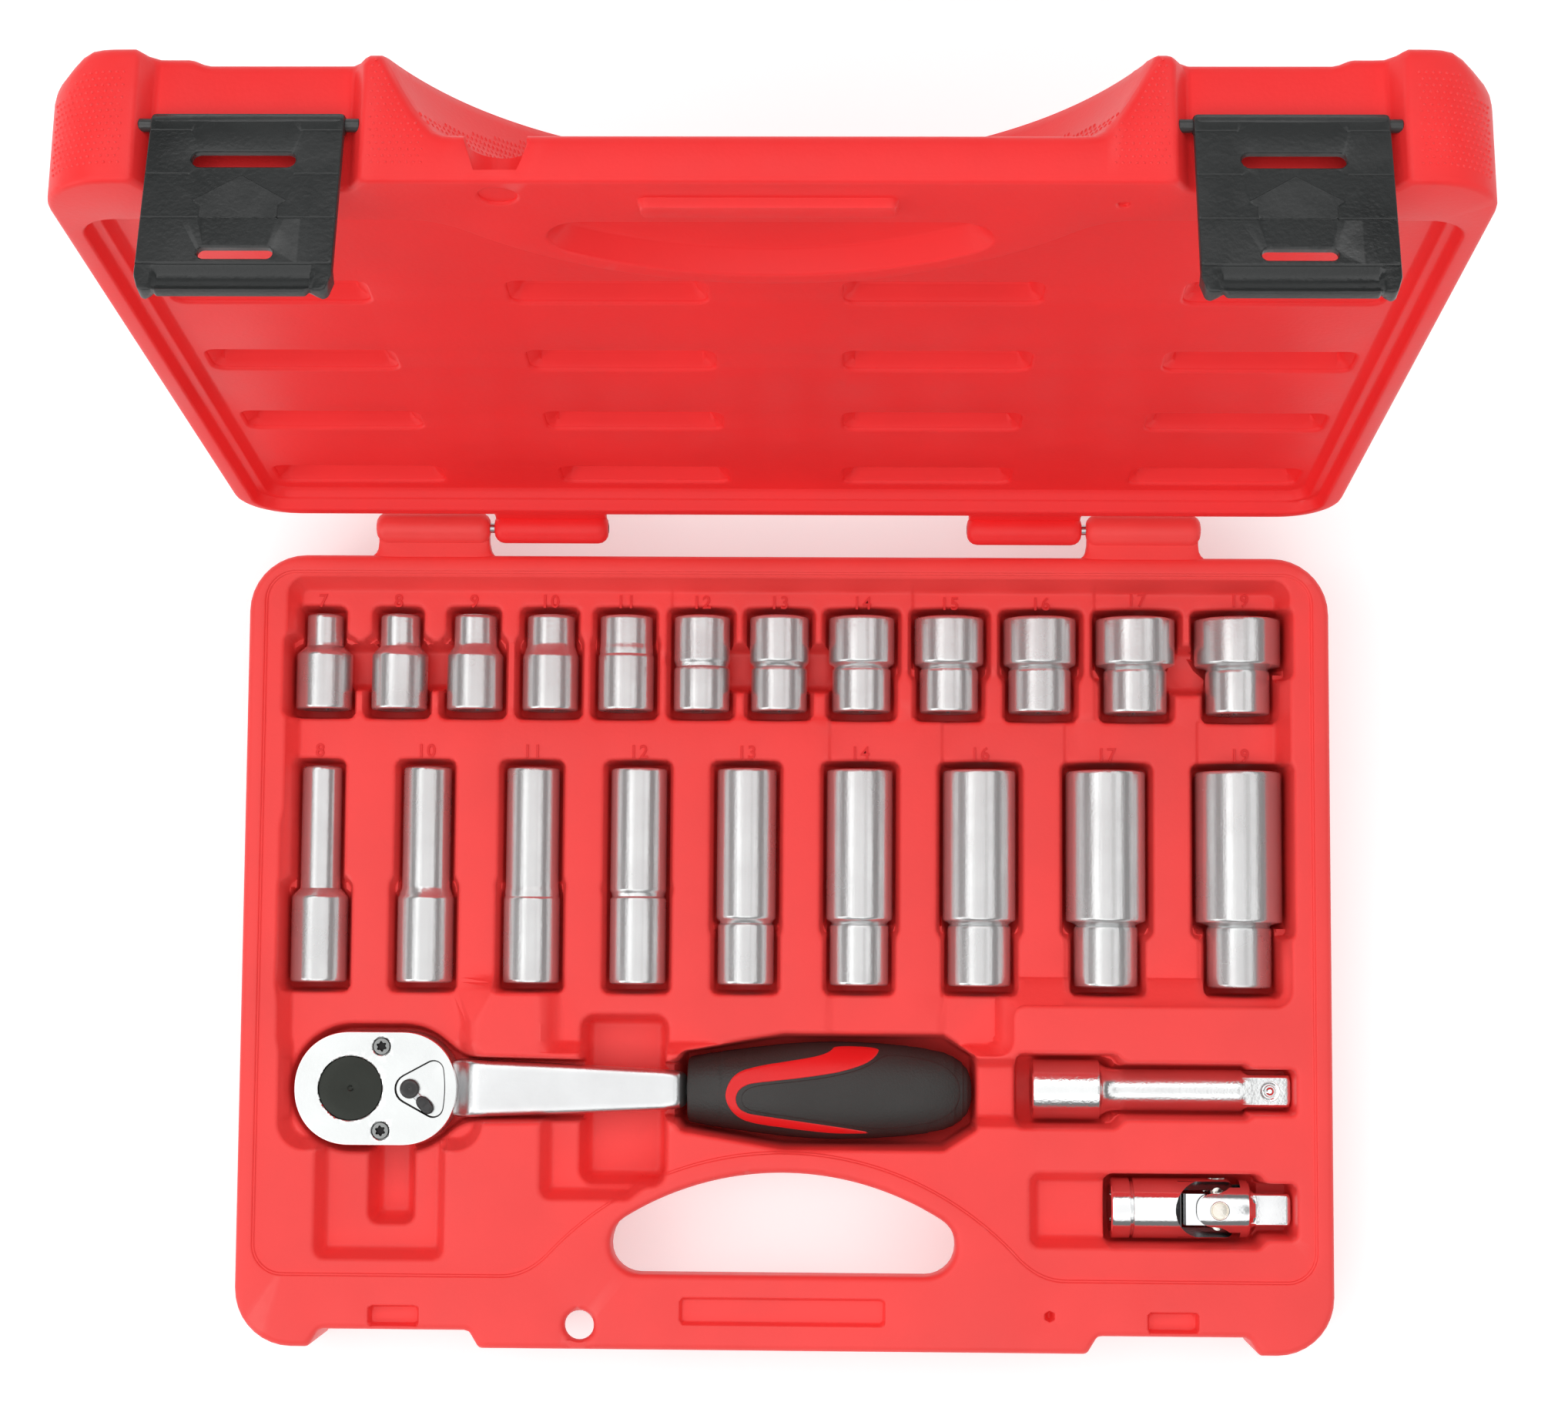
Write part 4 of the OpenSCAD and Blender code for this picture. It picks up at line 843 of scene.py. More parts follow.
def ratchet_floor(x, y):
    """Depth under the ratchet: head, shank and grip in turn, the grip's in an oval cradle."""
    a, b = smooth((x + 104) / 6), smooth((x + 33) / 4)
    yy = (y - TOOL_Y) / 16.4
    grip = 15.2 + 12.3 * np.sqrt(np.maximum(0.02, 1 - np.minimum(yy * yy, 1)))
    return 17.3 + (15.8 - 17.3) * a * (1 - b) + (grip - 17.3) * b


def small_field(x, y):
    """Pockets of the extension bar and of the universal joint."""
    e = y - EXT_Y
    ext = box_field(x, e, EXT_X - 5, 99.8, -11, 11, 2.5)
    ext = soft_min(ext, box_field(x, e, 92, 138.5, -8.3, 8.3, 2), 3)
    ext = np.minimum(ext, box_field(x, e, 134, 151.8, -6.8, 6.8, 1.6))
    u = y - UJ_Y
    uj = box_field(x, u, UJ_X - 2, 141.8, -11, 11, 2.5)
    uj = soft_min(uj, box_field(x, u, 136, 151.8, -8.2, 8.2, 2), 2.5)
    return np.minimum(ext, uj)


def small_floor(x, y):
    """Cradles of the extension bar and of the universal joint."""
    e = y - EXT_Y
    r = 9.0 + (6.25 - 9.0) * smooth((x - EXT_X - 21) / 4)
    ext = 12.2 + np.where(x > EXT_X + EXT_L - 13.2, 5.05, np.sqrt(np.maximum(
        0, 1 - (e / (r + 1)) ** 2)) * (r + 0.3))
    u = y - UJ_Y
    uj = 12.4 + np.sqrt(np.maximum(0, 1 - (u / 10) ** 2)) * 11.4
    uj = np.where(x > UJ_C + 11, 19.4, uj)
    return np.where(np.abs(e) < 17, ext, uj)


def hollow_field(x, y):
    """Shallow hollows beside the tools: two beside the ratchet, one before the extension bar
    and the empty end of the universal joint's pocket."""
    return np.minimum.reduce([
        polygon_field(x, y, [(-136, -89), (-104, -89), (-104, -45), (-136, -45)], 3),
        polygon_field(x, y, [(-69, -71), (-47, -71), (-38, -64), (-38, -45), (-69, -45)], 3),
        box_field(x, y, 52, EXT_X + 2, TOOL_Y - 9.3, TOOL_Y + 10, 2),
        box_field(x, y, UJ_X - 24, UJ_X, UJ_Y - 10.6, UJ_Y + 10.6, 2.5)])


def slot_field(x, y):
    """Deep finger slots inside the two hollows beside the ratchet."""
    return np.minimum(box_field(x, y, -124.2, -110.8, -82.4, -50, 3),
                      box_field(x, y, -61, -35, -70, -20, 4))


def oblong_field(x, y):
    """Oblong recess in the carrying bar, a recess for each latch's catch and a small blind
    hole."""
    d = box_field(x, y, -30.3, 30.3, -110.4, -102.5, 1.2)
    for s in (-1, 1):
        d = np.minimum(d, box_field(x, y, s * LATCH_X - 7.5, s * LATCH_X + 7.5, -111.6, -105.6, 1))
    return np.minimum(d, np.hypot(x - 78.7, y + 107) - 1.6)


SHORT_FIELD = socket_field(SHORT_X, SHORT, SHORT_Y, SHORT_L, False)
DEEP_FIELD = socket_field(DEEP_X, DEEP, DEEP_Y, DEEP_L, True)
SHORT_FLOOR = socket_floor(SHORT_X, SHORT, SHORT_Y, False)
DEEP_FLOOR = socket_floor(DEEP_X, DEEP, DEEP_Y, True)


def tray_layers():
    """The tray's sunk shapes in turn, each (distance, floor depth below the rim, brow radius,
    foot radius, wall width). A layer's walls start from the level that the layers before it
    left, so pockets cut into lands with rounded brows."""
    oblong_depth = lambda x, y: np.where(np.abs(x) > 60, 4.0, 2.5)
    return [
        (border_field, constant(1.2), 0.6, 0.5, 0.4),
        (land_field, land_depth, 1.4, 1.5, land_wall),
        (finger_field, constant(19), 1.6, 2.0, 1.2),
        (hollow_field, constant(9), 1.8, 1.8, 1.6),
        (slot_field, constant(19.5), 1.6, 2.5, 1.4),
        (SHORT_FIELD, SHORT_FLOOR, 1.3, 0.4, 0.9),
        (DEEP_FIELD, DEEP_FLOOR, 1.3, 0.4, 0.9),
        (small_field, small_floor, 1.5, 0.5, 0.9),
        (ratchet_field, ratchet_floor, 1.6, 0.8, 1.0),
        (oblong_field, oblong_depth, 0.5, 0.5, 0.5)]


def sunk(layers, upto=None):
    """Depth below the rim after the first layers. The land leaves the rest pad standing."""
    def depth(x, y):
        z = np.zeros(np.shape(x))
        for field, floor, rt, rb, w in layers[:upto]:
            w = w(x, y) if callable(w) else w
            rise = np.maximum(floor(x, y) - z, 0)
            drop = pocket_drop(field(x, y), np.maximum(rise, 0.02), rt, rb, w)
            z = z + np.where(rise > 0.02, drop, 0)
            if field is land_field:
                keep = smooth(1 - box_field(x, y, *REST_PAD, 2) / 6)
                z = z + (1.2 - z) * keep * (z > 1.2)
        return z
    return depth


def layer_rings(layers, box, step):
    """Constraint rings along every layer's brow, wall and foot, where the layer has effect."""
    rings = []
    for k, (field, floor, rt, rb, w) in enumerate(layers):
        below = sunk(layers, k)
        alive = lambda x, y, below=below, floor=floor: floor(x, y) - below(x, y) > 0.25
        wide = w(np.array([0.0]), np.array([50.0]))[0] if callable(w) else w
        levels = pocket_levels(rt, rb, wide)
        if callable(w):
            levels = np.concatenate([levels, [-5.0, -7.4, -8.2, -8.9]])
        rings += rings_of(field, levels, box, step, alive)
    return rings


def make_tray():
    """Base of the case: tray above, scooped underside below."""
    layers = tray_layers()
    depth = sunk(layers)
    loops = [OUTLINE, HANDLE, HANG]
    edge = edge_field(loops)

    def top(x, y):
        return RIM - np.maximum(depth(x, y), 0) - fillet_drop(edge(x, y), 2.3)

    def bottom(x, y):
        z = scoop(arc_rho(x, y), BAR) + fillet_drop(edge(x, y), 2.0)
        return np.maximum(z, (RIM - 3.6) * smooth(-notch_field(x, y) / 0.5 + 0.5))

    edge_rings = rings_of(edge, [0.22, 0.7, 1.35, 2.3], CASE_BOX, 1.6)
    rings = layer_rings(layers, CASE_BOX, 1.35) + edge_rings
    lines = [(at, 70, 109) for at, _ in SHORT_STEPS]
    lines += [(at, y0, 69) for at, y0 in zip(DEEP_STEPS, (-14, -14, -12, -10))]
    for at, y0, y1 in lines:
        rings += [line_rings(at + d, y0, at + d, y1) for d in (-0.7, -0.2, 0.2, 0.7)]
    under = rings_of(edge, [0.2, 0.7, 1.3, 2.0], CASE_BOX, 2.4)
    under += rings_of(arc_rho, SCOOP_RHO, CASE_BOX, 3.0)
    under += rings_of(notch_field, [-0.25, 0, 0.25], CASE_BOX, 1.2)
    fill = lattice(np.arange(-149, 149, 2.6), np.arange(-88, 108, 3.1), "ij")
    pockets = (SHORT_FIELD, DEEP_FIELD, small_field, ratchet_field)
    d = np.minimum.reduce([f(*fill.T) for f in pockets])
    return closed_sheet(loops, top, bottom, rings, under, fill[d < -1.6])


def swung(pts):
    """Points of the shut lid, swung back about the hinge to where they stand when it is open."""
    x, y, z = pts[:, 0], pts[:, 1] - HINGE_Y, pts[:, 2] - HINGE_Z
    c, s = math.cos(-LID_OPEN), math.sin(-LID_OPEN)
    return np.stack([x, y * c - z * s + HINGE_Y, y * s + z * c + HINGE_Z], -1)


def lid_solid(pts, faces):
    """A part of the lid from its own frame, rim up, to its place: turned over onto the base's
    rim, then swung back."""
    pts = swung(pts * [1, 1, -1] + [0, 0, LID_RIM + RIM])
    return pts, outward(pts, faces)


def panel_field(x, y):
    """Sunk inner panel of the lid, inside the ledge."""
    d = box_field(x, y, -153.8, 153.8, -95.2, 111.4, 7)
    return -soft_min(-d, arc_rho(x, y) - 96.4, 7)


def kiss_field(x, y):
    """Four by four oblong grooves across the lid's panel."""
    return np.minimum.reduce([box_field(x, y, cx - 24.5, cx + 24.5, cy - 7, cy + 7, 3)
                              for cy in (-40.2, 5.8, 51.8, 97.8)
                              for cx in (-125, -41.3, 41.3, 125)])


def dish_field(x, y):
    """Finger dish opposite the handle opening, and the two small dimples."""
    d = polygon_field(x, y, HANDLE)
    d = np.minimum(d, np.hypot(x - HANG_X, y + 110) - HANG_R)
    return np.minimum(d, np.hypot(x - 79, y + 106) - 1.3)


def rib_field(x, y):
    """Raised rib opposite the recess in the carrying bar."""
    return box_field(x, y, -29, 29, -109.8, -103.1, 1.5)


def notch_field(x, y):
    """Round notch in the front wall behind the flange of the hang hole."""
    r, y0 = 7, FRONT + 7
    return soft_min(np.hypot(x - HANG_X, y - y0) - r,
                    box_field(x, y, HANG_X - r, HANG_X + r, y0 - 14, y0, 0.5), 0.5)


def foot_field(x, y):
    """Distance to the four corner feet."""
    return np.maximum(128 - np.abs(x), 84 - np.abs(y))


def make_lid():
    """Lid in its own frame, rim up: stepped panel with grooves inside, feet and the scooped
    handle zone outside, dots moulded on the corners and strokes on the scoop's slope."""
    dish_floor = lambda x, y: np.where(y < -104.5, 1.6, 6.0) * np.where(
        (y < -104.5) | (np.abs(x) > 60), 1, 0.75 + 0.25 * smooth(-polygon_field(x, y, HANDLE) / 9))
    layers = [
        (border_field, constant(3.2), 0.9, 0.6, 0.8),
        (panel_field, constant(6.0), 0.6, 1.2, 0.8),
        (kiss_field, constant(10.5), 1.0, 2.2, 2.2),
        (dish_field, dish_floor, 0.9, 1.5, 3.2)]
    depth = sunk(layers)
    loops = [OUTLINE]
    edge = edge_field(loops)

    def top(x, y):
        rib = pocket_drop(rib_field(x, y), 2.2, 0.4, 0.6, 0.4)
        return RIM - depth(x, y) + rib - fillet_drop(edge(x, y), 1.5)

    def bottom(x, y):
        round_r = 3.2 + 6.0 * smooth((np.abs(x) - 150) / 9)
        z = np.maximum(FOOT * smooth(foot_field(x, y) / 5 + 0.5), scoop(arc_rho(x, y), BAR))
        z = z + fillet_drop(edge(x, y), round_r)
        return np.maximum(z, 30.2 * smooth(-notch_field(x, y) / 0.5 + 0.5))

    rings = layer_rings(layers, CASE_BOX, 1.5)
    rings += rings_of(edge, [0.15, 0.5, 0.95, 1.5], CASE_BOX, 1.6)
    rings += rings_of(rib_field, [0.4, 0.15, 0, -0.4, -0.7, -1.0], CASE_BOX, 1.2)
    under = rings_of(edge, [0.35, 0.9, 1.7, 3.0, 4.6, 6.5, 9.0], CASE_BOX, 2.4)
    under += rings_of(arc_rho, SCOOP_RHO, CASE_BOX, 2.2)
    under += rings_of(notch_field, [-0.25, 0, 0.25], CASE_BOX, 1.2)
    under += rings_of(foot_field, [-2.5, -1, 0, 1, 2.5], CASE_BOX, 3.0)
    p, f = closed_sheet(loops, top, bottom, rings, under)
    return [lid_solid(p, f), lid_solid(*lid_dots()), lid_solid(*lid_strokes())]


def lid_dots():
    """Staggered rows of dots on the front wall beside the latches, round the corners too."""
    gap, bend = 1.55, CASE_W / 2 - CORNER
    u, t = lattice(np.arange(-17, 18) * gap, np.arange(17) * gap + 3.6, "ij").T
    u = u + gap / 2 * (np.round((t - 3.6) / gap).astype(int) % 2)
    found = []
    for s in (-1, 1):
        x = s * 84.0 + u
        ok = (np.abs(x) > 75.5) & (np.abs(x) < 88.5)
        ok &= (t > scoop(arc_rho(x, FRONT), BAR) + 2.2) & (t < 29.5)
        o = np.stack([x, np.full_like(x, FRONT), t], -1)[ok]
        n = np.tile([0.0, -1, 0], (len(o), 1))
        found.append((o, np.tile([1.0, 0, 0], (len(o), 1)), n))
        run = 144.0 + u + 7                     # length along the wall and round the corner
        ok = (run > 142.5) & (run < 163) & (t > 5.5) & (t < 29.5)
        run, tt = run[ok], t[ok]
        a = np.maximum(run - bend, 0) / CORNER
        x = np.minimum(run, bend) + CORNER * np.sin(a)
        y = FRONT + CORNER * (1 - np.cos(a))
        n = np.stack([s * np.sin(a), -np.cos(a), 0 * a], -1)
        o = np.stack([s * x, y, tt], -1)
        keep = tt > 4.5 + 6 * smooth((x - 150) / 9)
        found.append((o[keep], np.stack([np.cos(a), s * np.sin(a), 0 * a], -1)[keep], n[keep]))
    o, v, n = (np.concatenate(k) for k in zip(*found))
    w = np.tile([0.0, 0, 1], (len(o), 1))
    return domes((o, v, w, n), (0.36, 0.36), 0.24)


def lid_strokes():
    """Rows of short strokes across the scoop's slope, between the front wall and the arc."""
    x, z = lattice(np.arange(38, 88, 0.85), np.arange(8) * 1.9 + 4.2, "ij").T
    rho = np.interp(-z, -scoop(SCOOP_RHO, BAR), SCOOP_RHO)
    ok = rho > x
    x, z, rho = x[ok], z[ok], rho[ok]
    y = ARC_Y + np.sqrt(rho * rho - x * x)
    ok = (y > FRONT + 1.5) & (x < 40 + z * 2.4)
    x, z, rho, y = x[ok], z[ok], rho[ok], y[ok]
    slope = (scoop(rho + 0.2, BAR) - scoop(rho - 0.2, BAR)) / 0.4
    out = np.concatenate([np.stack([s * x, y, z], -1) for s in (-1, 1)])
    n = []
    for s in (-1, 1):
        k = np.stack([s * x / rho * slope, (y - ARC_Y) / rho * slope, -np.ones_like(x)], -1)
        n.append(k / np.linalg.norm(k, axis=1)[:, None])
    n = np.concatenate(n)
    side = np.cross(n, np.tile([0.0, 0, 1], (len(n), 1)))
    side /= np.linalg.norm(side, axis=1)[:, None]
    return domes((out, side, np.cross(n, side), n), (0.24, 0.72), 0.3, 6)


def knuckle(x0, length, lid):
    """One hinge barrel with rounded ends, and the web that carries it, flared at the wall."""
    round_r = 3.2
    end = np.array([0, 0.25, 0.9, 1.9, round_r])
    t = np.concatenate([end, length - end[::-1]])
    inset = round_r - np.minimum(t, length - t).clip(0, round_r)
    r = 4.6 - round_r + np.sqrt(np.maximum(0, round_r ** 2 - inset ** 2))
    barrel = lofted(x0 + t, r, r, 2.0, HINGE_Y, HINGE_Z, "x", 40)
    y = np.array([117.0, 118.0, 118.8, 120, 122, 125.6])
    flare = np.array([3.4, 2.4, 1.2, 0.4, 0, 0])
    w = length / 2 - 0.5 + flare * 0.8
    if lid:
        low, high = 33.6 + 0 * y, np.array([44, 43.4, 42.2, 40.4, 38.0, 35.6])
    else:
        low, high = np.array([21, 21.6, 22.6, 24.2, 26.4, 28.4]), 32.2 + 0 * y
    web = lofted(y, w, (high - low) / 2, 7.0, x0 + length / 2, (high + low) / 2, "y", 48)
    if not lid:
        return [barrel, web]
    return [(swung(p), outward(swung(p), f)) for p, f in (barrel, web)]


def knuckles(inner, lid):
    """The hinge barrels and webs on both sides, whose inner ends lie at inner."""
    return [part for x0 in (-inner - KNUCKLE_L, inner) for part in knuckle(x0, KNUCKLE_L, lid)]


def numerals():
    """Size numbers raised on the lands over each socket, as one mesh part."""
    rows = [(s, x, 104.6 if s < 17 else 106.0) for s, x in zip(SHORT, SHORT_X)]
    rows += [(s, x, 59.0) for s, x in zip(DEEP, DEEP_X)]
    parts = []
    for s, x, y in rows:
        curve = bpy.data.curves.new("number", "FONT")
        curve.body, curve.size, curve.align_x, curve.align_y = str(s), 5.4, "CENTER", "CENTER"
        curve.extrude, curve.offset, curve.resolution_u = 0.38, 0.05, 4
        curve.bevel_depth, curve.bevel_resolution = 0.06, 1
        curve.space_character = 1.15
        holder = linked("number", curve)
        p, f = read_mesh(holder)
        bpy.data.objects.remove(holder)
        bpy.data.curves.remove(curve)
        z = RIM - float(land_depth(np.array([x]), np.array([y]))[0])
        # The numbers take the second material, a deeper red: painted shade.
        parts.append((p + [x, y, z], f, 1))
    return parts


tray_parts = [make_tray()] + numerals() + knuckles(89.7, False)
new_piece("tray", tray_parts, [tray_red, numeral_shade_red], "case", ("case_base",))
new_piece("lid_shell", make_lid() + knuckles(54.0, True), [lid_shade_red], "lid", ("case_lid",))


# ---- latches
def latch_arrow(u, v):
    """Distance to the plain arrow on a latch: a wide head over a stem."""
    return polygon_field(u, v, [(0, -14.6), (-10.4, -21.0), (-8.6, -22.3), (-8.6, -25.3),
                                (8.6, -25.3), (8.6, -22.3), (10.4, -21.0)])


def latch_plate():
    """Latch in its own frame, hinge axis on X: a plate with two round-ended slots, a raised
    arrow, score lines and a hollow finger lip, closed over its thickness."""
    half, fold = 21.5, -36.7                # the finger lip starts at the fold
    left = [(-half, 1.9, 1.0), (-half, -39.5, 1.0), (-half + 1.2, -43.3, 1.5),
            (-half + 4.4, -43.3, 0.8), (-half + 5.4, -44.5, 0.8)]
    outline = filleted(left + [(-x, y, r) for x, y, r in left[::-1]], n=4, gap=1.6)
    slots = []
    for w, h, v in ((23, 3.8, -10.3), (16.5, 2.8, -34.0)):
        r, cx = h / 2, (w - h) / 2
        p = np.concatenate([arc(cx, v, r, -90, 90, 8), arc(-cx, v, r, 90, 270, 8)])
        slots.append(divided(p, 1.5)[::-1])
    loops = [outline] + slots
    edge = edge_field(loops)

    def score(u, v):
        """Distance to the nearest score line."""
        d = np.full(np.shape(u), 1e9)
        for y, x0 in ((-3.0, 12.0), (-14.2, 11.5), (-25.3, 8.6)):
            d = np.minimum(d, np.hypot(v - y, np.maximum(x0 - np.abs(u), 0)))
        return np.minimum(d, np.abs(v - fold))

    def lip(u, v):
        """Height of the hollow lip and its turned-up edge."""
        s = np.clip((fold - v) / 7.8, 0, 1)
        inner = smooth((17.3 - np.abs(u)) / 1.4 + 0.5)
        hollow = -1.15 * np.sin(math.pi * np.clip(s * 1.25, 0, 1))
        return inner * (hollow + 1.5 * smooth((s - 0.72) / 0.28))

    def top(u, v):
        h = (2.5 - 0.28 * (1 - smooth(score(u, v) / 0.35))
             + 0.3 * smooth(-latch_arrow(u, v) / 0.25 + 0.5))
        h = h + lip(u, v) - 0.5 * smooth((v + 0.2) / 2.2)
        return h - fillet_drop(edge(u, v), 0.45)

    def bottom(u, v):
        h = 0.5 + np.minimum(lip(u, v), 0.9) * (v < fold)
        feet = smooth((np.abs(u) - 17.6) / 0.6) * smooth((-38.0 - v) / 0.8)
        h = h * (1 - feet) - 1.5 * feet
        return h + fillet_drop(edge(u, v), 0.3) * (1 - feet)

    def lines(across, along):
        """Constraint lines across the lip and down it."""
        return ([line_rings(-21, v, 21, v, 1.5) for v in across]
                + [line_rings(s * u, -36.8, s * u, -43.2, 1.5) for s in (-1, 1) for u in along])

    box = (-22.5, 22.5, -45.5, 3)
    rings = rings_of(edge, [0.13, 0.28, 0.45], box, 0.7)
    rings += rings_of(score, [0.08, 0.2, 0.36], box, 0.4)
    rings += rings_of(latch_arrow, [0.14, 0, -0.14], box, 0.6)
    rings += lines((-37.6, -38.6, -39.8, -41, -42, -42.6, -43.2, 1.2, 0.4), (16.6, 17.3, 18.0))
    under = lines((-37.6, -38.0, -38.8, -39.8, -41, -42.3, -43), (17.6, 18.2))
    p, f = closed_sheet(loops, top, bottom, rings, under)
    plate = np.stack([p[:, 0], -p[:, 2], p[:, 1]], -1)
    e = np.array([0, 0.3, 0.9])
    t = np.concatenate([e - half, half - e[::-1]])
    r = np.array([1.6, 2.2, 2.5, 2.5, 2.2, 1.6])
    barrel = lofted(t, r, r, 2.0, 0, 0, "x", 40)
    r = np.array([1.1, 1.5, 1.5, 1.1])
    pin = lofted([-24.9, -24.4, 24.4, 24.9], r, r, 2.0, 0, 0, "x", 28)
    return [(plate, outward(plate, f)), barrel, pin]


LATCH_PARTS = latch_plate()
for side, name in ((-1, "left"), (1, "right")):
    placed = []
    c, s = math.cos(-LATCH_REST), math.sin(-LATCH_REST)
    for p, f in LATCH_PARTS:
        q = np.stack([p[:, 0] + side * LATCH_X, p[:, 1] * c - p[:, 2] * s + LATCH_Y,
                      p[:, 1] * s + p[:, 2] * c + LATCH_Z], -1)
        placed.append((swung(q), outward(swung(q), f)))
    new_piece("latch_plate_" + name, placed, [latch_black], "latch_" + name, ("latch_" + name,),
              sharp=32)


# ---- sockets
def socket_rows(s, length, deep):
    """Profile of a socket along its axis: drive end, waist, hexagon end, then back through
    the hexagonal hole and the square one."""
    rc, ro = collar_od(s) / 2, hex_od(s) / 2
    c, t = collar_len(s, deep), cone_len(s)
    af = s / 2 + 0.05
    hole = min(s / 2 - 0.3, 4.55)
    hex_l = length - SQUARE_DEEP - (8 if deep else 4)
    lead = (af + 0.55) / math.cos(math.pi / 6) * 0.985
    rows = [(0.55, 6.3), (0.12, 6.6), (0, 6.9), (0, rc - 1.0), (0.1, rc - 0.55),
            (0.38, rc - 0.18), (0.9, rc), (1.15, rc), (c * 0.5, rc), (c - 1.15, rc), (c - 0.9, rc)]
    if ro < rc:
        rows += [(c - 0.35, rc - 0.08), (c, rc - 0.35), (c + t * 0.45, ro + (rc - ro) * 0.45),
                 (c + t * 0.85, ro + 0.12), (c + t * 1.15, ro), (c + t * 1.15 + 0.3, ro)]
    else:
        rows += [(c - 0.3, rc - 0.12), (c, rc - 0.45), (c + 0.3, rc - 0.62),
                 (c + t * 0.6, rc - 0.5 + 0.3 * (ro - rc)), (c + t - 0.1, ro - 0.35),
                 (c + t + 0.3, ro - 0.08), (c + t + 0.8, ro), (c + t + 1.1, ro)]
    end = length - hex_l
    return rows + [
        (length * 0.7 + c * 0.3, ro), (length - 1.2, ro), (length - 0.9, ro),
        (length - 0.38, ro - 0.16), (length - 0.1, ro - 0.5), (length, ro - 0.85),
        (length, max(lead + 0.1, ro - 1.4)), (length - 0.25, lead, af, -6),
        (length - 1.0, af + 0.25, af, -6), (length - 1.6, af, af, -6), (end, af, af, -6),
        (end - 0.3, hole), (11.8, hole), (11.4, SQUARE_HOLE, SQUARE_HOLE, -4),
        (1.5, SQUARE_HOLE, SQUARE_HOLE, -4), (1.0, 5.7, SQUARE_HOLE, -4)]


for xs, sizes, y0, length, deep, stem in ((SHORT_X, SHORT, SHORT_Y, SHORT_L, False, "socket_"),
                                          (DEEP_X, DEEP, DEEP_Y, DEEP_L, True, "deep_socket_")):
    for x, s in zip(xs, sizes):
        node_name = stem + "%02d" % s
        p, f = turned(socket_rows(s, length, deep), "y", (x, y0, RIM - axis_drop(s)), capped=False,
                      phase=math.pi / 4)
        new_piece(node_name + "_shell", [(p, f)], [chrome], node_name, (node_name,), 30)


# ---- carving
def carved(base, cuts):
    """What is left of a closed solid when others are cut out of it, as points and triangles."""
    def stand(p, faces):
        mesh = bpy.data.meshes.new("blank")
        mesh.from_pydata(p.tolist(), [], [corners for f in faces for corners in f.tolist()])
        return linked("blank", mesh)

    work = stand(*base)
    others = [stand(*c) for c in cuts]
    for o in others:
        m = work.modifiers.new("cut", "BOOLEAN")
        m.operation, m.solver, m.object = "DIFFERENCE", "EXACT", o
    p, faces = read_mesh(work)
    for o in [work] + others:
        bpy.data.objects.remove(o)
    return p, outward(p, faces)


def prism(outline, z0, z1):
    """Straight solid over a convex or star-shaped plan outline."""
    n = len(outline)
    return closed_tube(np.c_[np.tile(outline, (2, 1)), np.repeat([z0, z1], n)], 2, n)


def globe(centre, r, cols=32):
    """Ball of radius r."""
    a = np.linspace(-88, 88, 21)
    rows = [(r * math.sin(t), r * math.cos(t)) for t in np.radians(a)]
    return turned(rows, "z", centre, cols)


# ---- ratchet
def head_outline(n=26):
    """Plan of the head: two round ends, a little squarer than circles, and straight sides."""
    a = np.radians(np.linspace(-90, 90, 2 * n + 1))
    c, s = np.cos(a), np.sin(a)
    u, v = 16.8 * np.abs(c) ** 0.93, 16.8 * np.sign(s) * np.abs(s) ** 0.97
    right = np.stack([HEAD_X + 15.1 + u, TOOL_Y + v], -1)
    left = np.stack([HEAD_X - u, TOOL_Y - v], -1)
    return divided(np.concatenate([right, left]), 1.3)


HEAD = head_outline()
WHEEL_HOLE = circle(HEAD_X, TOOL_Y, 9.62, 72, True)
SCREWS = [(HEAD_X + 9.2, TOOL_Y + s * 12.5) for s in (-1, 1)]
RECESS = filleted([(LEVER_X - 9.6, TOOL_Y, 4.6), (LEVER_X + 9.6, TOOL_Y - 10.4, 3.2),
                   (LEVER_X + 11.1, TOOL_Y, 40), (LEVER_X + 9.6, TOOL_Y + 10.4, 3.2)],
                  n=8, gap=1.0)


def chamber_field(x, y):
    """Hollow of the gear, the pawl, its spring and the two screws inside the head."""
    d = np.hypot(x - HEAD_X, y - TOOL_Y) - 12.4
    d = np.minimum(d, polygon_field(x, y, np.array(
        [(2.6, 5.4), (0, 9.6), (-5, 10), (-9, 9.2), (-13, 7), (-13, -7), (-9, -9.2), (-5, -10),
         (0, -9.6), (2.6, -5.4), (5.2, -2)]) + [LEVER_X, TOOL_Y]))
    d = np.minimum(d, box_field(x, y, LEVER_X, LEVER_X + 11, TOOL_Y - 1.4, TOOL_Y + 1.4, 0.3))
    for cx, cy in SCREWS:
        d = np.minimum(d, np.hypot(x - cx, y - cy) - 1.6)
    return d


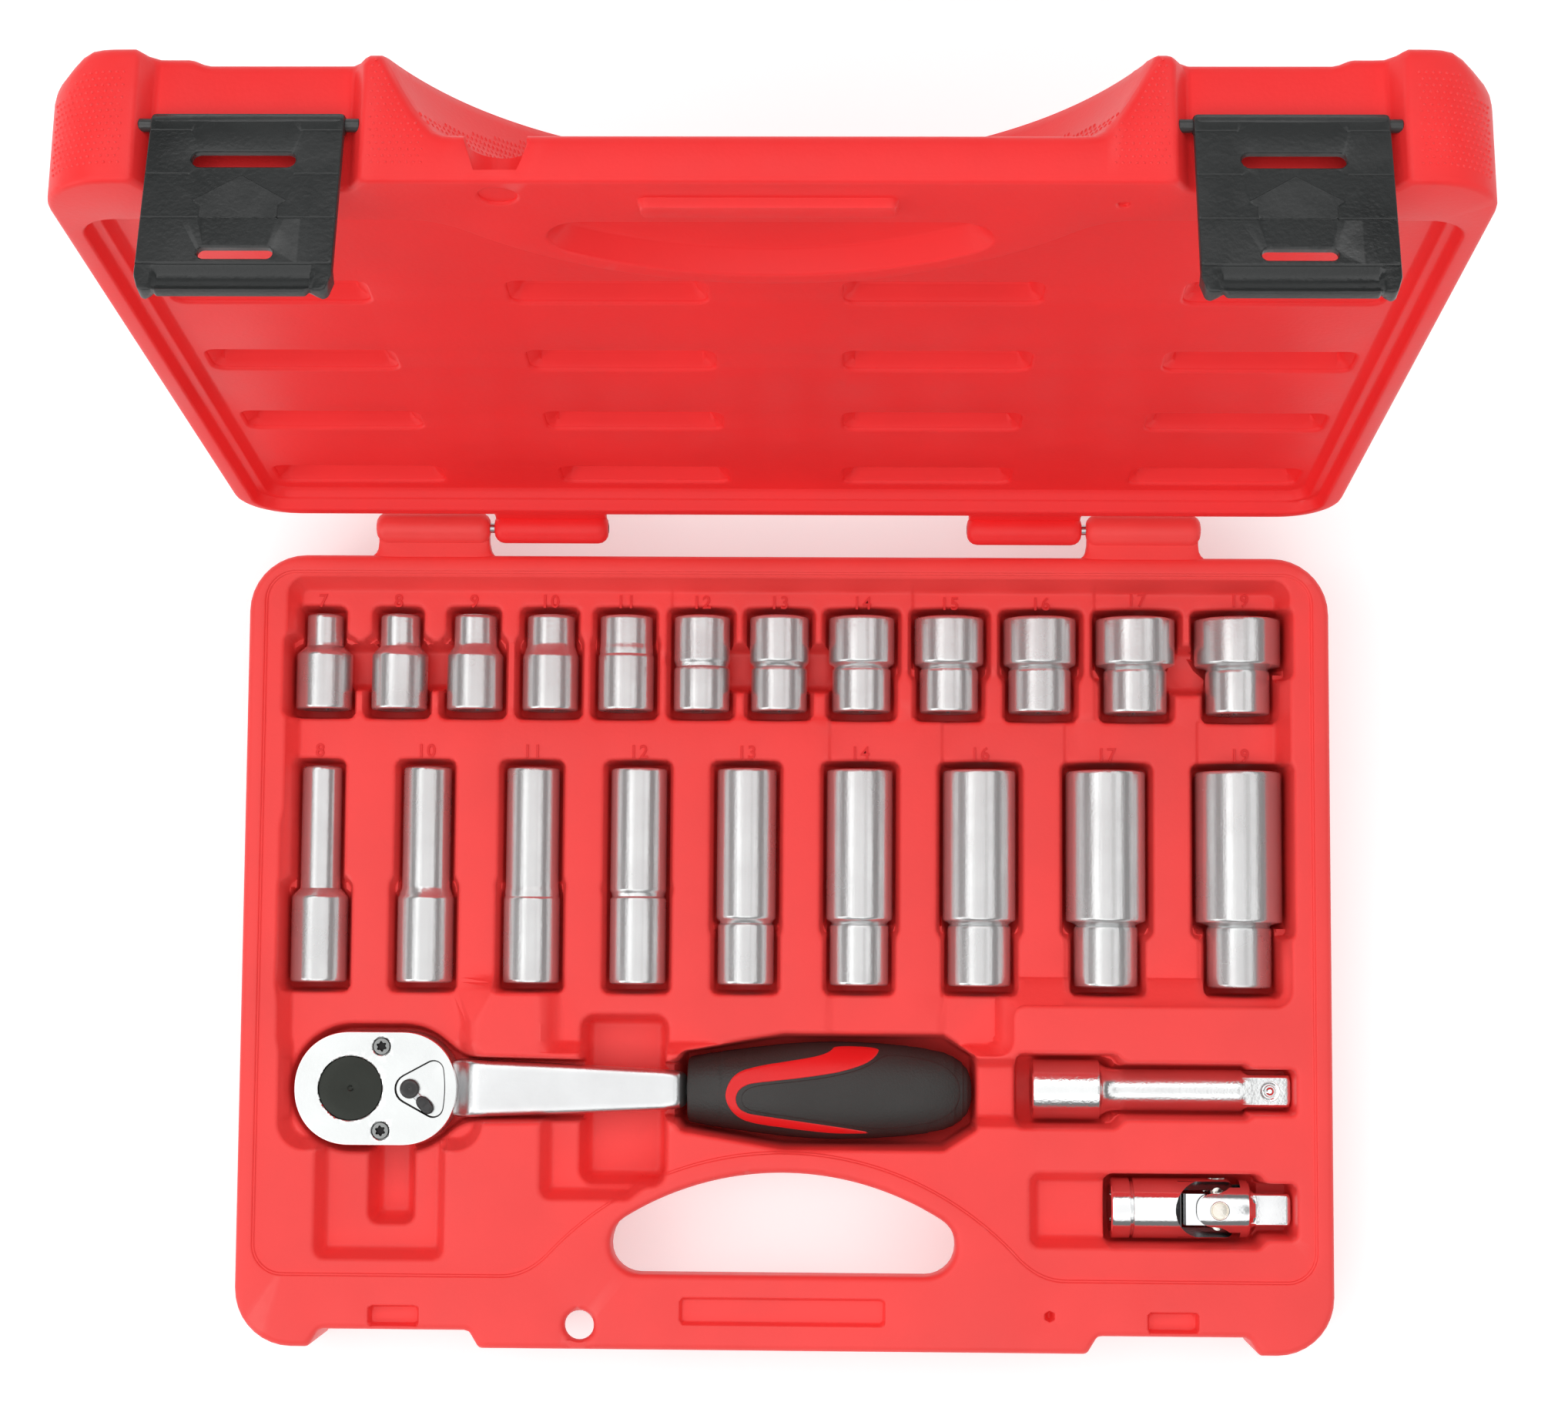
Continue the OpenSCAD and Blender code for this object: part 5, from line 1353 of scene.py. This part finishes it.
def make_head():
    """Forged head: a flat block with a rounded lower edge and the mechanism's hollow, open
    towards the cover, and a neck that dips and rises into the tapering shank."""
    bore = circle(HEAD_X, TOOL_Y, 8.75, 48, True)
    edge = edge_field([HEAD])

    def top(x, y):
        return np.where(chamber_field(x, y) < 0, 18.2, HEAD_TOP)

    def bottom(x, y):
        return 16 + fillet_drop(edge(x, y), 2.4)

    rings = rings_of(chamber_field, [0.03, -0.03], HEAD_BOX, 0.6)
    under = rings_of(edge, [0.3, 0.75, 1.4, 2.4], HEAD_BOX, 0.8)
    head = closed_sheet([HEAD, bore], top, bottom, rings, under)
    x = np.array([-101, -99.2, -97.8, -96.8, -95.8, -94.8, -93.8, -92.6, -91, -88, -80, -70, -60,
                  -50, -42, -36, -33.5, -32.4, -31.4, -30.6, -30.0, -29.5, -29.4, -28.4, -26])
    hi = np.array([24.0, 24.0, 24.2, 24.8, 25.7, 26.5, 27.05, 27.35, 27.5, 27.5, 27.4, 27.25, 27.1,
                   27, 26.9, 26.8, 26.72, 26.5, 26.05, 25.3, 24.2, 22.9, 21.6, 21.2, 21.2])
    w = np.interp(x, [-101, -97, -92, -60, -35, -31, -29.5, -29.4],
                  [8.0, 8.7, 8.45, 7.1, 5.9, 5.5, 4.4, 3.6])
    lo = np.interp(x, [-101, -98, -34, -31, -29.5, -29.4],
                   [17.6, 17.5, 18.2, 18.6, 20.2, 20.6]) - 0.2
    lo[-3:] = [15.2, 14.6, 14.6]
    n = np.interp(x, [-101, -36, -31, -29.5, -29.4], [7, 6, 4, 2.6, 2])
    return [head, lofted(x, w, (hi - lo) / 2, n, TOOL_Y, (hi + lo) / 2, "x", 72)]


def top_apart(sheet, marked):
    """A sheet with those upper triangles set apart, as a second material, whose middles are
    marked."""
    p, (up, low, walls) = sheet
    mid = p[up].mean(1)
    ok = marked(mid[:, 0], mid[:, 1])
    return p, [up[~ok], low, walls, up[ok]], (0, 0, 0, 1)


def make_cover():
    """Cover plate: a hole for the wheel, countersunk screw holes and the sunk three-cornered
    field of the lever, whose leaning wall is painted black: painted shade."""
    holes = [circle(x, y, SCREW_R + 0.2, 32, True) for x, y in SCREWS]
    holes.append(circle(LEVER_X, TOOL_Y, 2.46, 28, True))
    loops = [HEAD, WHEEL_HOLE] + holes
    edge = edge_field(loops[:4])
    field, lean = lambda x, y: polygon_field(x, y, RECESS), 0.45

    def top(x, y):
        return (PLATE_TOP - fillet_drop(edge(x, y), 0.28) * (field(x, y) > 0)
                - 1.05 * smooth(-field(x, y) / lean))

    rings = rings_of(edge, [0.07, 0.16, 0.28, 0.5], HEAD_BOX, 0.8)
    rings += rings_of(field, [0.2, 0.0, -0.11, -0.22, -0.33, -lean, -0.7], HEAD_BOX, 0.5)
    fill = lattice(np.arange(-146.5, -94, 2.0), np.arange(-59, -24, 2.0))
    hub = np.hypot(fill[:, 0] - LEVER_X, fill[:, 1] - TOOL_Y) - 2.46
    fill = fill[(edge(*fill.T) > 1.0) & (np.abs(field(*fill.T)) > 1.1) & (hub > 0.9)]
    sheet = closed_sheet(loops, top, constant(HEAD_TOP), rings, [], fill)
    # The leaning wall takes the second material, black: painted shade.
    return top_apart(sheet, lambda x, y: (field(x, y) < 0) & (field(x, y) > -lean))


def gear_ring(z0, z1, teeth=36):
    """Toothed ring of the drive gear: two points out and two in for each tooth."""
    k = np.arange(4 * teeth)
    a = k * TAU / len(k)
    r = np.where(k % 4 < 2, 11.95, 11.25)
    return prism(np.stack([HEAD_X + r * np.cos(a), TOOL_Y + r * np.sin(a)], -1), z0, z1)


def torx(x, y):
    """Countersunk screw with a six-lobed socket."""
    def inside(u, v):
        return SCREW_R - np.hypot(u - x, v - y)

    def star(u, v):
        a = np.arctan2(v - y, u - x) + 0.4
        return np.hypot(u - x, v - y) - 1.32 - 0.24 * np.cos(6 * a)

    def top(u, v):
        return 29.9 - fillet_drop(inside(u, v), 0.35) - smooth(-star(u, v) / 0.12 + 0.4)

    box = (x - 3, x + 3, y - 3, y + 3)
    rings = rings_of(star, [0.06, 0, -0.08], box, 0.16)
    rings += rings_of(inside, [0.08, 0.18, 0.35], box, 0.3)
    sheet = closed_sheet([circle(x, y, SCREW_R, 36)], top, constant(28.62), rings, [])
    shank = turned([(20.6, 0.9), (21.2, 1.42), (28.66, 1.42)], "z", (x, y, 0), 24)
    # The star pit takes the second material, black: painted shade in the pit.
    return [top_apart(sheet, lambda u, v: star(u, v) < 0.03), shank]


def lever_parts():
    """Reversing lever: a domed hub, a narrow bright arm and a saddle-shaped knob."""
    turn = math.radians(-46)
    c, s = math.cos(turn), math.sin(turn)

    def placed(p, f):
        q = np.stack([LEVER_X + p[:, 0] * c - p[:, 1] * s,
                      TOOL_Y + p[:, 0] * s + p[:, 1] * c, p[:, 2]], -1)
        return q, outward(q, f)

    hub = turned([(17.2, 2.2), (17.3, 2.36), (28.98, 2.36), (28.99, 2.9), (30.05, 2.92),
                  (30.35, 2.8), (30.58, 2.4), (30.7, 1.8), (30.74, 1.1), (30.74, 0.6),
                  (30.66, 0.35), (30.5, 0.1)], "z", (LEVER_X, TOOL_Y, 0), 48)
    x = np.linspace(1.5, 5.5, 13)
    arm = placed(*lofted(x, 1.05 + 0.75 * ((x - 3.3) / 2) ** 2, 0.5, 4, 0, 29.5, "x", 32))
    mid, half = 6.65, 3.1
    x = mid + half * np.sin(np.radians(np.linspace(-89, 89, 25)))
    t = (x - mid) / half
    w = 1.95 * np.sqrt(np.maximum(0.01, 1 - np.abs(t) ** 2.6))
    hi = 30.0 + 0.75 * np.abs(t) ** 1.2 * (1 - np.abs(t) ** 5) + 0.12
    knob = placed(*lofted(x, w, (hi - 29.0) / 2, 2.8, 0, (hi + 29.0) / 2, "x", 40))
    return hub, arm, knob


# Grip: half-widths, half-heights and cross-section along X
GRIP_AT = np.array([0, 0.25, 0.7, 1.4, 2.6, 5, 10, 18, 26, 35, 44, 52, 58, 66, 72, 77, 80, 82.4,
                    84, 84.9, 85.2])
GRIP_W = np.array([8.6, 9.3, 9.75, 10.0, 10.2, 10.6, 11.4, 12.5, 13.5, 14.3, 14.6, 14.4, 14.1,
                   13.4, 12.6, 11.4, 10.2, 8.5, 6.5, 4.2, 2.6])
GRIP_H = GRIP_W * np.interp(GRIP_AT, [0, 10, 40, 85], [0.98, 0.93, 0.82, 0.84])
GRIP_N = 2.35


def grip_sizes(x):
    """Half-width and half-height of the grip at x, as smooth curves through the table."""
    u = np.clip(np.asarray(x, float) - GRIP_X0, 0, 85.2)
    return np.interp(u, GRIP_AT, GRIP_W), np.interp(u, GRIP_AT, GRIP_H)


def grip_top(x, y):
    """Height of the grip's upper surface: zc + h (1 - |y/w|^n)^(1/n)."""
    w, h = grip_sizes(x)
    t = np.clip(np.abs((y - TOOL_Y) / w), 0, 0.992)
    return GRIP_Z + h * (1 - t ** GRIP_N) ** (1 / GRIP_N)


# Outlines on the grip in plan: the red inlay and the raised pad, from the grip's start
SWOOSH = np.array([(11.4, -2.1), (11.7, 0.4), (12.7, 2.8), (14.3, 4.8), (16.6, 6.2), (20.5, 7.3),
                   (24.8, 8.1), (30, 8.95), (35.3, 9.8), (39.2, 10.6), (41.9, 11.5), (43.3, 12.4),
                   (43.9, 13.3), (50, 13.45), (57.6, 12.9), (57.0, 11.4), (55.6, 9.8), (53.5, 8.5),
                   (50.8, 7.4), (47.5, 6.4), (43.8, 5.5), (35.3, 4.2), (27, 3.2), (20.5, 2.5),
                   (17.6, 1.8), (15.6, 0.4), (14.6, -1.7), (14.9, -3.9), (16.2, -5.7),
                   (18.6, -6.7), (24, -7.5), (32, -8.6), (42, -10), (50, -11.2), (55.6, -12.3),
                   (50, -12.6), (42, -12.4), (34, -11.5), (26, -10.5), (19.5, -9.6), (15.6, -8.1),
                   (12.8, -5.4)])
GRIP_PAD = np.array([(16.2, -1.9), (17.2, 0.3), (20.4, 1.7), (27, 2.5), (36, 3.5), (44, 4.8),
                     (51, 6.6), (55.5, 8.6), (58.8, 11.2), (68, 10.6), (76, 8.6), (80.5, 5.0),
                     (82, 0), (80.5, -5.0), (76, -8.4), (68, -10.2), (60, -11.2), (51, -10.6),
                     (42, -9.2), (32, -7.8), (24, -6.7), (19, -5.9), (16.7, -4.3)])


def rounded_loop(points, n=3):
    """Closed loop smoothed by n rounds of corner cutting, anticlockwise, in its place."""
    p = points
    for _ in range(n):
        q = np.roll(p, -1, 0)
        p = np.stack([0.75 * p + 0.25 * q, 0.25 * p + 0.75 * q], 1).reshape(-1, 2)
    area = (p[:, 0] * np.roll(p[:, 1], -1) - np.roll(p[:, 0], -1) * p[:, 1]).sum()
    p = p if area > 0 else p[::-1]
    p = p + [GRIP_X0, TOOL_Y]
    keep = np.hypot(*(p - np.roll(p, 1, 0)).T) > 0.12
    return divided(p[keep], 0.9)


def inlay(points, rise, depth, round_r):
    """Closed piece let into the grip's upper surface along a plan outline, standing out by rise
    with a rounded edge."""
    loop = rounded_loop(points)
    edge = edge_field([loop])
    (x0, y0), (x1, y1) = loop.min(0) - 1, loop.max(0) + 1

    def top(x, y):
        return grip_top(x, y) + rise - fillet_drop(edge(x, y), round_r)

    rings = rings_of(edge, [round_r * 0.2, round_r * 0.5, round_r, round_r + 0.5],
                     (x0, x1, y0, y1), 0.7)
    fill = lattice(np.arange(x0, x1, 1.6), np.arange(y0, y1, 1.1))
    fill = fill[edge(*fill.T) > round_r + 0.9]
    return closed_sheet([loop], top, lambda x, y: grip_top(x, y) - depth, rings, [], fill, fill)


def make_grip():
    """Soft grip: an oval that swells and ends round, with a plain raised pad."""
    u = np.unique(np.concatenate([GRIP_AT, np.linspace(2.6, 77, 50), np.linspace(77, 85, 16)]))
    w, h = grip_sizes(GRIP_X0 + u)
    for k in (w, h):
        k[3:-5] = np.convolve(k, np.full(5, 0.2), "same")[3:-5]
    body = lofted(GRIP_X0 + u, w - 0.02, h - 0.02, GRIP_N, TOOL_Y, GRIP_Z, "x", 96)
    return [body, inlay(GRIP_PAD, 0.22, 1.5, 0.3)]


new_piece("ratchet_forging", make_head(), [satin_chrome], "ratchet", ("ratchet_body",),
          34)
new_piece("cover_plate", [make_cover()], [plate_chrome, painted_shade_black], "ratchet",
          ("ratchet_cover",), 34)
wheel = turned([(27.3, 9.3), (27.32, 9.46), (29.45, 9.46), (29.62, 9.38), (29.7, 9.2),
                (29.7, 6.0), (29.68, 3.0), (29.66, 1.1), (29.5, 0.8), (29.1, 0.1)],
               "z", (HEAD_X, TOOL_Y, 0), 96)
lower = turned([(4.8, 4.2, 4.1, 4), (5.2, 5.4, 4.6, 4), (5.9, 6.3, SQUARE, 4),
                (15.4, 6.3, SQUARE, 4), (16.0, 6.6, 5.2, 4), (16.02, 8.5), (18.7, 8.5),
                (18.72, 8.0)], "z", (HEAD_X, TOOL_Y, 0), 96)
p, f = turned([(-6.4, 1.66), (1, 1.66)], "z", (0, 0, 0), 32)
p = np.stack([HEAD_X + p[:, 0], TOOL_Y - SQUARE + 1 - p[:, 2], 10.5 + p[:, 1]], -1)
dimple = p, outward(p, f)
new_piece("drive_wheel", [wheel, (*carved(lower, [dimple]), 1), (*gear_ring(18.5, 27.2), 1)],
          [disc_black, dark_steel], "drive", ("drive_gear",), 34)
screw_parts = [part for x, y in SCREWS for part in torx(x, y)]
new_piece("torx_screws", screw_parts, [screw_grey, painted_shade_black], "ratchet", ("cover_screws",),
          34)
hub, arm, knob = lever_parts()
new_piece("reversing_knob", [hub, (*arm, 1), knob], [lever_black, steel], "reverse_lever",
          ("reverse_lever",), 40)
new_piece("soft_grip", make_grip(), [grip_black], "ratchet", ("grip_core",), 40)
new_piece("grip_swoosh", [inlay(SWOOSH, 0.16, 1.2, 0.22)], [grip_red], "ratchet",
          ("grip_inlay",), 40)


# ---- extension bar
def square_end(x0, x1, rnd):
    """Rows of a square drive along X from its leaning shoulder at x0 to its end at x1."""
    return [(x0 - 2.7, rnd, rnd, 4), (x0 - 0.15, rnd, 4.78, 4), (x0 + 0.2, rnd, SQUARE, 4),
            (x0 + 3, rnd, SQUARE, 4), (x1 - 1.4, rnd, SQUARE, 4), (x1 - 0.8, rnd - 0.12, 4.72, 4),
            (x1 - 0.35, rnd - 0.5, 4.6, 4), (x1, rnd - 1.1, 4.3, 4)]


def square_hole(r):
    """Rows of the square hole at a tool's start, out to its rounded brow of radius r."""
    return [(SQUARE_DEEP, SQUARE_HOLE, SQUARE_HOLE, -4), (1.5, SQUARE_HOLE, SQUARE_HOLE, -4),
            (1.0, 5.6, SQUARE_HOLE, -4), (0.6, 6.1), (0.15, 6.6), (0, 6.9), (0, r - 0.95),
            (0.1, r - 0.5), (0.4, r - 0.15), (0.9, r), (1.2, r)]


def ball_pit(x, y, z, up):
    """Cutter for a spring ball's hole: a staked rim and a bore."""
    p, f = turned([(-5.42, 1.66), (-0.9, 1.66), (-0.7, 2.0), (-0.42, 2.55),
                   (-0.3, 2.9), (0.02, 3.05), (1, 3.05)], "z", (0, 0, 0), 48)
    q = p * [1, 1, up] + [x, y, z]
    return q, outward(q, f)


rows = square_hole(9.0) + [
    (10, 9), (19.1, 9), (19.5, 9), (19.95, 8.93), (20.2, 8.7), (20.3, 8.4), (20.7, 7.9),
    (21.5, 7.25), (22.6, 6.75), (23.8, 6.42), (25.0, 6.28), (26.2, 6.25), (27, 6.25), (44, 6.25),
    (61, 6.25)] + square_end(65.2, EXT_L, 6.25)
bar = turned(rows, "x", (EXT_X, EXT_Y, EXT_Z), 128)
bar = carved(bar, [ball_pit(EXT_BALL_X, EXT_Y, EXT_Z + SQUARE, 1)])
new_piece("extension", [bar], [bar_chrome], "extension", ("extension_bar",), 32)
new_piece("extension_bead", [globe((EXT_BALL_X, EXT_Y, EXT_Z + 3.85), 1.6)], [bright_chrome],
          "extension_ball", ("extension_ball",), 40)


# ---- universal joint
def rod(axis, half, r, cols=40):
    """Cylinder of radius r along an axis through the crossing."""
    return turned([(-half, r), (half, r)], axis, CROSSING, cols)


def mouth_floor(x, y):
    """Height of the mouth's floor above the crossing: 2.2 beside the block, rising at 29 degrees
    under the arms and at 45 degrees towards the tip."""
    side = np.maximum(np.abs(y - UJ_Y) - ARM_GAP, 0)
    tip = np.maximum(UJ_C - SLOT_R - x, 0)
    return 2.2 + 0.55 * side + 1.0 * tip


def mouth_cut(up):
    """Cut that opens the slot at its top or bottom: in plan half an ellipse of 9 by 8.5 whose
    tip is 13.1 before the crossing, then straight."""
    long, wide = 9, 8.5
    a = np.radians(np.linspace(-90, 90, 37))
    nose = np.stack([UJ_C - (MOUTH_TIP - long) - long * np.cos(a), UJ_Y + wide * np.sin(a)], -1)
    outline = np.concatenate([nose[::-1], [(UJ_C + 9, UJ_Y - wide), (UJ_C + 9, UJ_Y + wide)]])
    lines = [line_rings(UJ_C - 11, y, UJ_C + 8.8, y, 1.0)
             for y in (UJ_Y - ARM_GAP, UJ_Y + ARM_GAP)]
    lines.append(line_rings(UJ_C - SLOT_R, UJ_Y - 5.4, UJ_C - SLOT_R, UJ_Y + 5.4, 1.0))
    p, f = closed_sheet([divided(outline, 1.0)], constant(12), mouth_floor, [], lines)
    p = p * [1, 1, up] + [0, 0, UJ_Z]
    return p, outward(p, f)


def block_between(x0, x1, y0, y1, z0, z1):
    """Plain box used as a cutter, around the crossing."""
    outline = np.array([(x0, y0), (x1, y0), (x1, y1), (x0, y1)], float) + [UJ_C, UJ_Y]
    return prism(outline, UJ_Z + z0, UJ_Z + z1)


def socket_fork():
    """Socket side: scalloped end, a groove, and arms at +Y and -Y round the crosswise pin."""
    rows = square_hole(9.0)
    rows += [(5.3, 9), (5.6, 9), (5.75, 8.85), (5.95, 8.45), (6.2, 8.3), (6.45, 8.45),
             (6.65, 8.85), (6.8, 9), (7.1, 9), (20, 9), (34.4, 9), (35.2, 8.8), (35.9, 8.3),
             (36.2, 7.6)]
    base = turned(rows, "x", (UJ_X, UJ_Y, UJ_Z), 128)
    p, f = carved(base, [rod("y", ARM_GAP, SLOT_R, 96),
                         block_between(-2, 8.6, -ARM_GAP, ARM_GAP, -11, 11),
                         mouth_cut(1), mouth_cut(-1), rod("y", 12, 2.66)])
    # The mouth's floor between the arms takes the second material, a dark steel: painted shade.
    x, y, z = p[f[0]].mean(1).T
    inside = (np.abs(np.abs(z - UJ_Z) - mouth_floor(x, y)) < 0.06) & (x > UJ_C - MOUTH_TIP)
    return p, [f[0][~inside], f[0][inside]], (0, 1)


def drive_fork():
    """Drive side: arms above and below the block whose noses are round about the upright pin."""
    hub = UJ_X + UJ_L - 12 - UJ_C
    rows = [(-6.6, 8.3), (-6.45, 8.5), (-6.2, 8.6), (0, 8.6),
            (hub - 1.6, 8.6), (hub - 0.7, 8.5), (hub - 0.2, 8.1), (hub, 7.5),
            (hub + 0.05, 6.5)]
    rows += [(k + hub - 0.4, a, b, c) for k, a, b, c in square_end(2.2, 12.4, 6.35)[1:]]
    base = turned(rows, "x", CROSSING, 128)
    v = np.linspace(-4.9, 4.9, 41)
    nose = np.stack([-6.5 * (1 - np.abs(v / 5.05) ** 2.6) ** (1 / 2.6), v], -1)
    flank = np.array([(0.4, 5.1), (2.2, 5.9), (4.2, 7.3), (6.2, 8.7), (6.2, 11), (-8, 11)])
    outline = np.concatenate([(flank * [1, -1])[::-1], nose, flank]) + [UJ_C, UJ_Y]
    sides = closed_sheet([divided(outline, 0.8)], constant(UJ_Z + 12), constant(UJ_Z - 12), [], [])
    return carved(base, [sides, block_between(-8.4, 6.4, -10, 10, -5.5, 5.5),
                         rod("z", 12, 2.86, 48),
                         ball_pit(UJ_X + UJ_L - 6, UJ_Y, UJ_Z - SQUARE, -1)])


def cross_block():
    """Block of the crossing, its socket side drawn out to a round end about the crosswise pin."""
    a = np.radians(np.linspace(180 - 25.5, 180 + 25.5, 17))
    side = np.stack([10.6 * np.cos(a), 10.6 * np.sin(a)], -1)
    side = np.concatenate([side, [(4.95, -4.56), (4.95, 4.56)]])
    p, f = prism(divided(side, 0.8), -4.6, 4.6)
    q = np.stack([p[:, 0] + UJ_C, p[:, 2] + UJ_Y, p[:, 1] + UJ_Z], -1)
    return carved((q, outward(q, f)), [rod("z", 12, 2.66), rod("y", 12, 2.66)])


def cross_pins():
    """Upright pin with a flat head ringed by a groove, and the two short crosswise pins."""
    rows = [(-8.4, 2.3), (-8.2, 2.6), (7.6, 2.6), (7.62, 2.78), (8.35, 2.78), (8.5, 2.66),
            (8.5, 2.42), (8.34, 2.36), (8.34, 2.3), (8.56, 2.2), (8.6, 2.0), (8.6, 0.2)]
    parts = [turned(rows, "z", CROSSING, 48)]
    for s in (-1, 1):
        rows = [(s * 2.75, 2.5), (s * 2.85, 2.6), (s * 8.2, 2.6), (s * 8.45, 2.35),
                (s * 8.5, 0.2)]
        parts.append(turned(rows, "y", CROSSING, 40))
    return parts


new_piece("joint_socket_fork", [socket_fork()], [joint_chrome, recess_shade_steel], "ujoint",
          ("ujoint_socket",), 30)
new_piece("joint_drive_fork", [drive_fork()], [joint_chrome], "ujoint_drive", ("ujoint_drive",),
          30)
new_piece("joint_block", [cross_block()], [bright_chrome], "ujoint_cross", ("ujoint_block",),
          32)
new_piece("joint_pins", cross_pins(), [pin_steel], "ujoint_cross", ("ujoint_pins",), 32)


# ---- pieces kept from the frame
KEPT = {"hinge_pin_left": steel, "hinge_pin_right": steel, "drive_ball": bright_chrome,
        "drive_ball_spring": steel, "extension_ball_spring": steel, "ujoint_ball": bright_chrome,
        "ujoint_ball_spring": steel, "pawl": steel, "pawl_detent_ball": bright_chrome,
        "pawl_detent_spring": steel}
for name, finish in KEPT.items():
    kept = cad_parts[name].data
    kept.materials.clear()
    kept.materials.append(finish)


# ---- studio
def make_studio():
    """Pale floor, surroundings with a bright ring high up that the metal reflects, plain white
    behind everything, two lamps and the camera."""
    m, t, shader = principled("studio_floor")
    at = node(t, "TexCoord").outputs["Object"]
    tone = remap(t, noise(t, at, 5.0, 3.0), 0.0, 1.0, 0.80, 0.84)
    mix = node(t, "CombineColor", {0: tone, 1: tone, 2: tone})
    feed(t, shader, {"Base Color": mix.outputs[0], "Roughness": 0.85})
    path = node(t, "LightPath").outputs
    seen = maths(t, "MAXIMUM", path["Is Camera Ray"], path["Is Glossy Ray"])
    seen = maths(t, "MAXIMUM", seen, path["Is Transmission Ray"])
    glow = node(t, "Emission", {"Color": (1, 1, 1, 1),
                                "Strength": maths(t, "MULTIPLY", seen, FLOOR_GLOW)})
    both = node(t, "AddShader", {0: shader.outputs[0], 1: glow.outputs[0]})
    feed(t, t.nodes["Material Output"], {"Surface": both.outputs[0]})
    cols, r = 64, np.array([400.0, 1200.0, 4000.0])[:, None]
    a = np.arange(cols) * TAU / cols
    pts = np.stack([r * np.cos(a), r * np.sin(a), 0 * r * a + FLOOR_Z], -1).reshape(-1, 3)
    pts = np.concatenate([pts, [[0, 0, FLOOR_Z]]])
    faces = [grid_faces(3, cols)[:, ::-1], fan(0, cols, 3 * cols, True)]
    floor = new_piece("studio_floor", [(pts, faces)], [m], None)

    world = bpy.data.worlds.new("studio_world")
    bpy.context.scene.world = world
    world.use_nodes = True
    t = world.node_tree
    back = t.nodes["Background"]
    up = node(t, "SeparateXYZ", {0: node(t, "TexCoord").outputs["Generated"]}).outputs["Z"]
    feed(t, back, {"Color": ramp(t, up, SKY), "Strength": SKY_LEVEL})
    white = node(t, "Background", {"Color": (1, 1, 1, 1), "Strength": 1.0})
    seen = node(t, "MixShader", {0: node(t, "LightPath").outputs["Is Camera Ray"],
                                 1: back.outputs[0], 2: white.outputs[0]})
    feed(t, t.nodes["World Output"], {"Surface": seen.outputs[0]})

    for label, place, size, power, aim in LAMPS:
        data = bpy.data.lights.new(label, "AREA")
        data.shape = "RECTANGLE"
        data.size, data.size_y = size
        data.energy = power
        lamp = linked(label, data)
        lamp.location = place
        way = np.array(aim, float) - np.array(place, float)
        yaw, pitch = math.atan2(way[1], way[0]), math.atan2(math.hypot(way[0], way[1]), -way[2])
        lamp.rotation_euler = (pitch, 0, yaw - math.pi / 2)

    data = bpy.data.cameras.new("view")
    data.lens, data.sensor_width, data.sensor_fit = LENS, 36.0, "HORIZONTAL"
    data.clip_start, data.clip_end = 0.02, 50
    camera = linked("view", data)
    camera.location, camera.rotation_euler = CAMERA_AT, CAMERA_TURN
    scene = bpy.context.scene
    scene.camera = camera
    scene.view_settings.view_transform = "Standard"


# Brightness of the surroundings by the sine of the height: 0 at the horizon and below it, 1
# straight up
SKY = [(0.0, 0.43), (0.06, 0.68), (0.26, 0.60), (0.38, 0.14), (0.66, 0.14), (0.74, 0.93),
       (0.88, 0.93), (0.95, 0.32)]
SKY_LEVEL = 1.4
FLOOR_Z, FLOOR_GLOW = -0.05, 0.42
LAMPS = [("overhead_panel", (-0.30, 0.05, 1.55), (2.2, 1.6), 8.3, (-0.30, 0.05, 0.0)),
         ("side_panel", (-1.3, -0.5, 0.75), (0.5, 0.9), 3.0, (0.0, 0.0, 0.08))]
LENS = 65.46
CAMERA_AT, CAMERA_TURN = (0.01782, 0.00307, 0.88472), (0.0834277, 0.0211329, 0.0068544)
make_studio()
